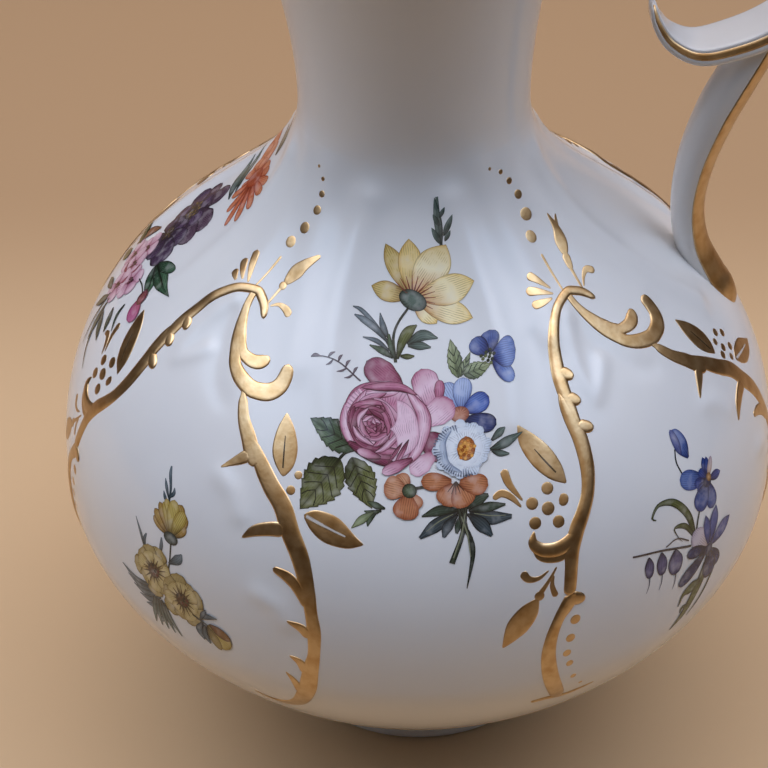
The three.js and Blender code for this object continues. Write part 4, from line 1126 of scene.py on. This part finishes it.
# Spray of the right small panel: two blue flowers, a bud on a bent stem and three hanging bells
def blueSpray():
    sheet = newSheet(45.0, 88.0)
    deep, sky = ("#162050", "#2E4488", "#3E58A0"), ("#2C3A70", "#5C72AE", "#7488BE")
    upper, lower = (6.7, 8.0), (3.3, -5.9)
    addPetal(sheet, (3.6, 14.8), 98, 6.8, 3.8, sky, kind="bud", line=0.4)
    addPetal(sheet, (2.2, 16.2), 90, 5.6, 2.0, ("#5A5F92", "#8087B6"), kind="bud", line=0.3)
    addStem(sheet, ((1.2, 18.0, 0.3), (0.2, 15.6, 0.35), (0.5, 12.6, 0.35)), ("#2E3440", "#3A4238"))
    addStem(sheet, ((3.6, 6.0, 0.5), (0.6, 1.2, 0.5), (-0.2, -1.6, 0.6), (1.2, -4.6, 0.7)), green["stem"])
    strokes(sheet, (((-0.6, -1.6, 1.0), (-1.2, 4.5, 1.7), (-4.0, 9.0, 1.6), (-7.8, 10.4, 0.8), (-10.2, 8.7, 0.5),
                     (-9.4, 7.9, 0.2)),
                    ((-0.6, -0.8, 0.6), (-2.7, 3.0, 1.2), (-5.6, 4.0, 0.5), (-5.0, 1.6, 0.15),
                     (-4.2, 0.2, 0.1))), green["olive"], 0.9)
    flower(sheet, upper, ((84, 4.8, 2.0), (70, 4.6, 2.0), (-9, 4.6, 2.0)), deep, kind="point", line=0.3)
    flower(sheet, upper, ((150, 8.6, 4.1),), sky, line=0.3)
    flower(sheet, upper, ((120, 3.6, 2.2), (162, 4.4, 2.2), (190, 4.0, 2.2)), deep, line=0.1)
    flower(sheet, upper, ((266, 6.2, 3.6), (218, 6.6, 4.6)), ("#142256", "#345294", "#2E468C"), line=0.4)
    addPetal(sheet, (7.0, 8.4), 50, 4.2, 1.5, ("#C9AE94", "#CDC0CA"), kind="bud", line=0.1)
    addDisc(sheet, (6.4, 7.8), 1.3, 1.1, ("#2A3058", "#2A3058"), line=0.0)
    addDisc(sheet, (7.2, 8.4), 0.8, 0.9, ("#C79A5C", "#A07C54"), line=0.2)
    addStem(sheet, ((-16.8, 3.2, 0.4), (-9.5, 1.1, 0.45), (-2.0, -2.1, 0.5)), ("#7A6258", "#5A4A48"))
    addStem(sheet, ((-8.6, 1.4, 0.3), (-5.4, 1.6, 0.3), (-2.4, -0.6, 0.3)), ("#8A7264", "#7A6258"))
    for x, y, reach, width in ((-13.2, 1.4, 4.8, 2.4), (-10.0, 0.9, 5.2, 2.8), (-6.4, -0.4, 5.8, 4.1)):
        addPetal(sheet, (x, y), -97, reach, width, ("#332D4C", "#6A648C", "#454068"), kind="bud", line=0.9)
        addStem(sheet, ((x - 0.6, y - reach, 0.25), (x - 1.0, y - reach - 1.6, 0.2), (x - 1.8, y - reach - 3.0, 0.1)),
                ("#5B5570", "#8A86A0"), line=0.1)
    strokes(sheet, (((2.4, -9, 1.8), (0.2, -13.2, 2.6), (-3.8, -18.2, 2.0), (-7.6, -21.4, 0.3)),
                    ((6.2, -8.4, 0.5), (5.4, -12.0, 0.6), (1.6, -17.0, 0.6), (-2.8, -20.4, 0.2)),
                    ((0.6, -12.4, 1.0), (-2.2, -12.6, 2.8), (-4.8, -13.0, 1.2), (-6.2, -15.4, 0.3)),
                    ((-2.8, -17.0, 0.6), (-4.8, -16.6, 0.9), (-5.4, -17.8, 0.3))), green["olive"])
    addPetal(sheet, (3.2, -5.8), 124, 7.4, 5.0, ("#B79F98", "#D2C6CE", "#C3B8C8"), kind="bud", line=0.2)
    flower(sheet, lower, ((16, 8.8, 3.2), (62, 8.8, 3.0), (88, 7.6, 2.4)), ("#263270", "#46589A", "#3E4E90"),
           kind="point", line=0.4)
    flower(sheet, lower, ((160, 7.2, 2.8), (-62, 7.0, 3.4), (-88, 7.8, 4.6), (202, 10.4, 3.4)),
           ("#0E1236", "#20285A", "#2C366C"), line=0.4)
    addDisc(sheet, (3.1, -6.2), 1.5, 1.2, ("#23284A", "#2E3460"), line=0.0)
    return sheet


# Overglaze enamel, printed and fired: watery colour that deepens towards the outlines, with engraved lines, as glossy
# as the glaze. Spans and distances to the outline are in millimetres.
enamelLook = {
    "name": "Overglaze enamel, printed and fired", "wash": 2.381,  # span of its pools
    "thinFrom": 0.48, "thinTo": 0.75, "thinned": 0.3, "bare": "#E2DEDD", "deepReach": 0.9, "deepest": 0.6,
    "hatch": 0.4189,  # spacing of the engraved lines, twice the real one, which is too fine to show
    "hatchWander": 1.6, "hatchFrom": 0.6, "hatchTo": 0.95, "hatched": 0.5,
    "hatchTone": "#94898E", "hatchNone": 0.56, "hatchAll": 0.42,
    "lineFull": 0.07, "lineGone": 0.2, "lined": 0.9, "lineTone": "#705C67", "gloss": (0.08, 0.18), "ior": 1.5,
}


def printMaterial(look):
    material, tree = newMaterial(look["name"])
    ink = addNode(tree, "ShaderNodeAttribute", attribute_name="ink")
    edge = addNode(tree, "ShaderNodeAttribute", attribute_name="edge")
    lines = addNode(tree, "ShaderNodeUVMap", uv_map="lines")
    place = addNode(tree, "ShaderNodeTexCoord")
    colour, reach = ink.outputs["Color"], edge.outputs["Fac"]
    deeper = addNode(tree, "ShaderNodeMix", {0: 1.0, 6: colour, 7: colour},
                     data_type="RGBA", blend_type="MULTIPLY").outputs[2]  # the same colour laid over itself
    hatchInk, lineInk = [
        addNode(tree, "ShaderNodeMix", {0: 1.0, 6: deeper, 7: linearColour(look[key])},
                data_type="RGBA", blend_type="MULTIPLY").outputs[2] for key in ("hatchTone", "lineTone")]
    wash = addNode(tree, "ShaderNodeTexNoise", {
        "Vector": place.outputs["Object"], "Scale": 1 / (look["wash"] * mm), "Detail": 3.0}).outputs["Fac"]
    thinned = addNode(tree, "ShaderNodeMapRange", {
        "Value": wash, "From Min": look["thinFrom"], "From Max": look["thinTo"], "To Max": look["thinned"]})
    shade = addNode(tree, "ShaderNodeMapRange", {
        "Value": reach, "From Min": 0.0, "From Max": look["deepReach"], "To Min": look["deepest"], "To Max": 0.0},
        interpolation_type="SMOOTHSTEP")
    hatch = addNode(tree, "ShaderNodeTexWave", {
        "Vector": lines.outputs["UV"], "Scale": math.pi / 10 / look["hatch"],  # at scale 1 a wave is pi / 10 long
        "Distortion": look["hatchWander"], "Detail": 1.0}, bands_direction="Y")
    thin = addNode(tree, "ShaderNodeMapRange", {
        "Value": hatch.outputs["Fac"], "From Min": look["hatchFrom"], "From Max": look["hatchTo"],
        "To Max": look["hatched"]})
    where = addNode(tree, "ShaderNodeMapRange", {
        "Value": wash, "From Min": look["hatchNone"], "From Max": look["hatchAll"]})
    hatched = addNode(tree, "ShaderNodeMath", {0: thin.outputs["Result"], 1: where.outputs["Result"]},
                      operation="MULTIPLY")
    rim = addNode(tree, "ShaderNodeMapRange", {
        "Value": reach, "From Min": look["lineFull"], "From Max": look["lineGone"], "To Min": look["lined"],
        "To Max": 0.0})
    inked = addNode(tree, "ShaderNodeMath", {0: rim.outputs["Result"], 1: ink.outputs["Alpha"]}, operation="MULTIPLY")
    for share, over in ((thinned.outputs["Result"], linearColour(look["bare"])), (shade.outputs["Result"], deeper),
                        (hatched.outputs[0], hatchInk), (inked.outputs[0], lineInk)):
        colour = addNode(tree, "ShaderNodeMix", {0: share, 6: colour, 7: over}, data_type="RGBA").outputs[2]
    gloss = addNode(tree, "ShaderNodeMapRange", {
        "Value": wash, "To Min": look["gloss"][0], "To Max": look["gloss"][1]})
    shader = addNode(tree, "ShaderNodeBsdfPrincipled", {
        "Base Color": colour, "Roughness": gloss.outputs["Result"], "IOR": look["ior"]})
    addNode(tree, "ShaderNodeOutputMaterial", {"Surface": shader.outputs["BSDF"]})
    return material


enamel = printMaterial(enamelLook)


# Mesh of a sheet with its attributes, repeated round the jug
def printPiece(name, sheet, copies):
    mesh = makeMesh(name, np.vstack(sheet["points"]), sheet["faces"])
    mesh.attributes.new("ink", "FLOAT_COLOR", "POINT").data.foreach_set("color", np.vstack(sheet["ink"]).ravel())
    mesh.attributes.new("edge", "FLOAT", "POINT").data.foreach_set("value", np.concatenate(sheet["edge"]))
    lines = np.vstack(sheet["lines"])
    corners = np.empty(len(mesh.loops), int)
    mesh.loops.foreach_get("vertex_index", corners)
    mesh.uv_layers.new(name="lines").data.foreach_set("uv", lines[corners].ravel())
    return turnAround(placeObject(name, mesh, enamel), enamel, copies)


# Veins of the gold leaves: two scratched dark, one left white
def goldVeins():
    sheet = newSheet(0.0, 100.0)

    def vein(stations, ink):
        path = [(math.radians(a) * radiusAt(lengthAt(z)), lengthAt(z) - sheet["start"], w) for a, z, w in stations]
        addStem(sheet, path, (ink, ink), line=0.0)

    sheet["layer"] = 20  # over the gold
    vein(((-22.7, 110.2, 0.3), (-23.3, 112.4, 0.3), (-23.9, 114.4, 0.15)), "#5A4A30")
    vein(((20.6, 113.0, 0.15), (21.8, 111.2, 0.3), (23.2, 109.2, 0.3)), "#6E5A38")
    vein(((-17.2, 104.3, 0.7), (-14.4, 103.4, 0.55), (-10.8, 102.2, 0.3)), "#DAD6D2")
    return sheet


prints = [
    printPiece("gold_leaf_veins", goldVeins(), 4),
    printPiece("rose_bouquet_print", roseBouquet(), 2),
    printPiece("anemone_bouquet_print", anemoneBouquet(), 1),
    printPiece("yellow_spray_print", yellowSpray(), 2),
    printPiece("blue_spray_print", blueSpray(), 2),
]
print("flower prints made")

# Floor: a paper sweep, pale round the jug, with painted shade behind it and painted shade towards the viewer; that
# dark front lies outside the picture and is only mirrored in the belly. Far away it fades to the backdrop's lowest
# tone. Distances are in metres.
floorLook = {
    # far: painted shade behind the jug, from turnAt on
    "near": "#D0AE85", "far": "#AB8863", "turnAt": 0.13, "soft": 0.09,
    # front: painted shadow towards the viewer, between frontShadeFrom and frontShadeTo
    "front": "#806B51", "frontShadeFrom": -0.12, "frontShadeTo": -0.36,
    "roughness": 0.7, "half": 3.0, "horizon": "#443A33", "blend": (0.8, 1.8),
}


# Rays that see the plain backdrop: the camera's, and those in gold and glaze
def seeingRays(tree):
    rays = addNode(tree, "ShaderNodeLightPath")
    seen = rays.outputs["Is Camera Ray"]
    for key in ("Is Glossy Ray", "Is Transmission Ray"):
        seen = addNode(tree, "ShaderNodeMath", {0: seen, 1: rays.outputs[key]}, operation="MAXIMUM").outputs[0]
    return seen


def makeFloor():
    material, tree = newMaterial("Smooth paper sweep, warm beige")
    place = addNode(tree, "ShaderNodeTexCoord")
    parts = addNode(tree, "ShaderNodeSeparateXYZ", {"Vector": place.outputs["Object"]})
    # painted shade: the floor turns darker behind the jug
    deep = addNode(tree, "ShaderNodeMapRange", {
        "Value": parts.outputs["Y"], "From Min": floorLook["turnAt"] - floorLook["soft"],
        "From Max": floorLook["turnAt"] + floorLook["soft"]}, interpolation_type="SMOOTHSTEP")
    tone = addNode(tree, "ShaderNodeValToRGB", {"Fac": deep.outputs["Result"]},
                   ((0.0, floorLook["near"]), (1.0, floorLook["far"])))
    # painted shadow: the floor turns darker towards the viewer
    frontShade = addNode(tree, "ShaderNodeMapRange", {
        "Value": parts.outputs["Y"], "From Min": floorLook["frontShadeFrom"], "From Max": floorLook["frontShadeTo"]},
        interpolation_type="SMOOTHSTEP")
    shadedTone = addNode(tree, "ShaderNodeMix", {
        0: frontShade.outputs["Result"], 6: tone.outputs["Color"], 7: linearColour(floorLook["front"])}, data_type="RGBA")
    shader = addNode(tree, "ShaderNodeBsdfPrincipled", {
        "Base Color": shadedTone.outputs[2], "Roughness": floorLook["roughness"]})
    away = addNode(tree, "ShaderNodeVectorMath", {0: place.outputs["Object"]}, operation="LENGTH")
    far = addNode(tree, "ShaderNodeMapRange", {
        "Value": away.outputs["Value"], "From Min": floorLook["blend"][0], "From Max": floorLook["blend"][1]},
        interpolation_type="SMOOTHSTEP")
    share = addNode(tree, "ShaderNodeMath", {0: far.outputs["Result"], 1: seeingRays(tree)}, operation="MULTIPLY")
    plain = addNode(tree, "ShaderNodeEmission", {"Color": linearColour(floorLook["horizon"])})
    mixed = addNode(tree, "ShaderNodeMixShader", {
        0: share.outputs[0], 1: shader.outputs["BSDF"], 2: plain.outputs[0]})
    addNode(tree, "ShaderNodeOutputMaterial", {"Surface": mixed.outputs[0]})
    h = floorLook["half"]
    mesh = makeMesh("floor", [(-h, -h, 0), (h, -h, 0), (h, h, 0), (-h, h, 0)], [(0, 1, 2, 3)], smooth=False)
    return placeObject("floor", mesh, material)


floor = makeFloor()

# Soft studio light: one wide box overhead and a smaller one at each side, fading towards their edges; metres, watts
lamps = {
    "overhead": {"place": (0.0, 0.19, 1.2), "aim": (0, 0.07, 0.1), "size": (3.0, 1.6), "power": 37.8,
                 "colour": (1.0, 0.94, 0.97)},
    "left": {"place": (-0.75, -0.15, 1.15), "aim": (0, 0, 0.12), "size": (1.3, 1.3), "power": 12.6,
             "colour": (0.5, 0.7, 0.97)},
    "right": {"place": (0.75, -0.15, 1.15), "aim": (0, 0, 0.12), "size": (1.3, 1.3), "power": 10.8,
              "colour": (0.42, 0.65, 0.97)},
}
lampFade = 0.3  # from each edge, as a share of the box


# Turns a lamp's face from its place to its aim
def aimMatrix(place, aim):
    back = np.array(place, float) - np.array(aim, float)
    back /= np.linalg.norm(back)
    side = np.cross((0, 1, 0) if abs(back[2]) > 0.95 else (0, 0, 1), back)
    side /= np.linalg.norm(side)
    up = np.cross(back, side)
    m = Matrix.Identity(4)
    for i in range(3):
        m[i][0], m[i][1], m[i][2], m[i][3] = side[i], up[i], back[i], place[i]
    return m


def fadeEdges(lamp):
    tree = clearTree(lamp)
    place = addNode(tree, "ShaderNodeNewGeometry")
    parts = addNode(tree, "ShaderNodeSeparateXYZ", {"Vector": place.outputs["Parametric"]})
    shares = []
    for key in ("X", "Y"):
        off = addNode(tree, "ShaderNodeMath", {0: parts.outputs[key], 1: 0.5}, operation="SUBTRACT")
        away = addNode(tree, "ShaderNodeMath", {0: off.outputs[0]}, operation="ABSOLUTE")
        inward = addNode(tree, "ShaderNodeMapRange", {
            "Value": away.outputs[0], "From Min": 0.5, "From Max": 0.5 - lampFade}, interpolation_type="SMOOTHSTEP")
        shares.append(inward.outputs["Result"])
    level = addNode(tree, "ShaderNodeMath", {0: shares[0], 1: shares[1]}, operation="MULTIPLY")
    glow = addNode(tree, "ShaderNodeEmission", {"Strength": level.outputs[0]})
    addNode(tree, "ShaderNodeOutputLight", {"Surface": glow.outputs[0]})


for name, look in lamps.items():
    lamp = bpy.data.lights.new(name, "AREA")
    lamp.shape = "RECTANGLE"
    lamp.size, lamp.size_y = look["size"]
    lamp.energy = look["power"]
    lamp.color = look["colour"]
    fadeEdges(lamp)
    holder = bpy.data.objects.new(name, lamp)
    holder.matrix_world = aimMatrix(look["place"], look["aim"])
    scene.collection.objects.link(holder)

# Quiet surround; the camera, gold and glaze see a plain backdrop that rises from the floor's last tone to a pale wall
surround = {"colour": "#4E545E", "level": 0.05, "wall": "#C4B19B", "wallFrom": 0.34, "wallTo": 0.54}
scene.world = bpy.data.worlds.new("studio")
tree = clearTree(scene.world)
quiet = addNode(tree, "ShaderNodeBackground", {
    "Color": linearColour(surround["colour"]), "Strength": surround["level"]})
ahead = addNode(tree, "ShaderNodeTexCoord")
parts = addNode(tree, "ShaderNodeSeparateXYZ", {"Vector": ahead.outputs["Generated"]})
rising = addNode(tree, "ShaderNodeValToRGB", {"Fac": parts.outputs["Z"]},
                 ((surround["wallFrom"], floorLook["horizon"]), (surround["wallTo"], surround["wall"])))
plain = addNode(tree, "ShaderNodeBackground", {"Color": rising.outputs["Color"]})
both = addNode(tree, "ShaderNodeMixShader", {0: seeingRays(tree), 1: quiet.outputs[0], 2: plain.outputs[0]})
addNode(tree, "ShaderNodeOutputWorld", {"Surface": both.outputs[0]})

# Camera: as the photograph was taken, close and from above, 768 pixels square; millimetres, degrees and pixels
view = {"place": (-0.1, -268.9, 302.9), "down": 39.5, "left": 1.54, "roll": -1.45, "pixels": 768, "focal": 1527.2,
        "near": 10.0}
cameraData = bpy.data.cameras.new("camera")
cameraData.lens = cameraData.sensor_width * view["focal"] / view["pixels"]
cameraData.clip_start = view["near"] * mm
camera = bpy.data.objects.new("camera", cameraData)
x, y, z = [v * mm for v in view["place"]]
camera.matrix_world = (Matrix.Translation((x + axisX, y, z)) @ Matrix.Rotation(math.radians(view["left"]), 4, "Z")
                       @ Matrix.Rotation(math.radians(90 - view["down"]), 4, "X")
                       @ Matrix.Rotation(math.radians(view["roll"]), 4, "Z"))
scene.collection.objects.link(camera)
scene.camera = camera
print("stage, light and camera made")

sides = ("front", "handle_side", "back", "beak_side")
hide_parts("belly_bowl", "shoulder", "pouring_lip")
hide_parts("foot_ring")
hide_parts("gilt_lip_band")
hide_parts(*["crescent_scroll_" + s for s in sides])
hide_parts(*["knotted_scroll_" + s for s in sides])
for piece, node in handlePieces:
    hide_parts(node)
for piece in (glazedBody, foot, giltLip, crescents, knots, *goldStrokes, goldDots, *[p for p, _ in handlePieces]):
    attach(piece, "root")
for piece in prints:
    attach(piece, "root")
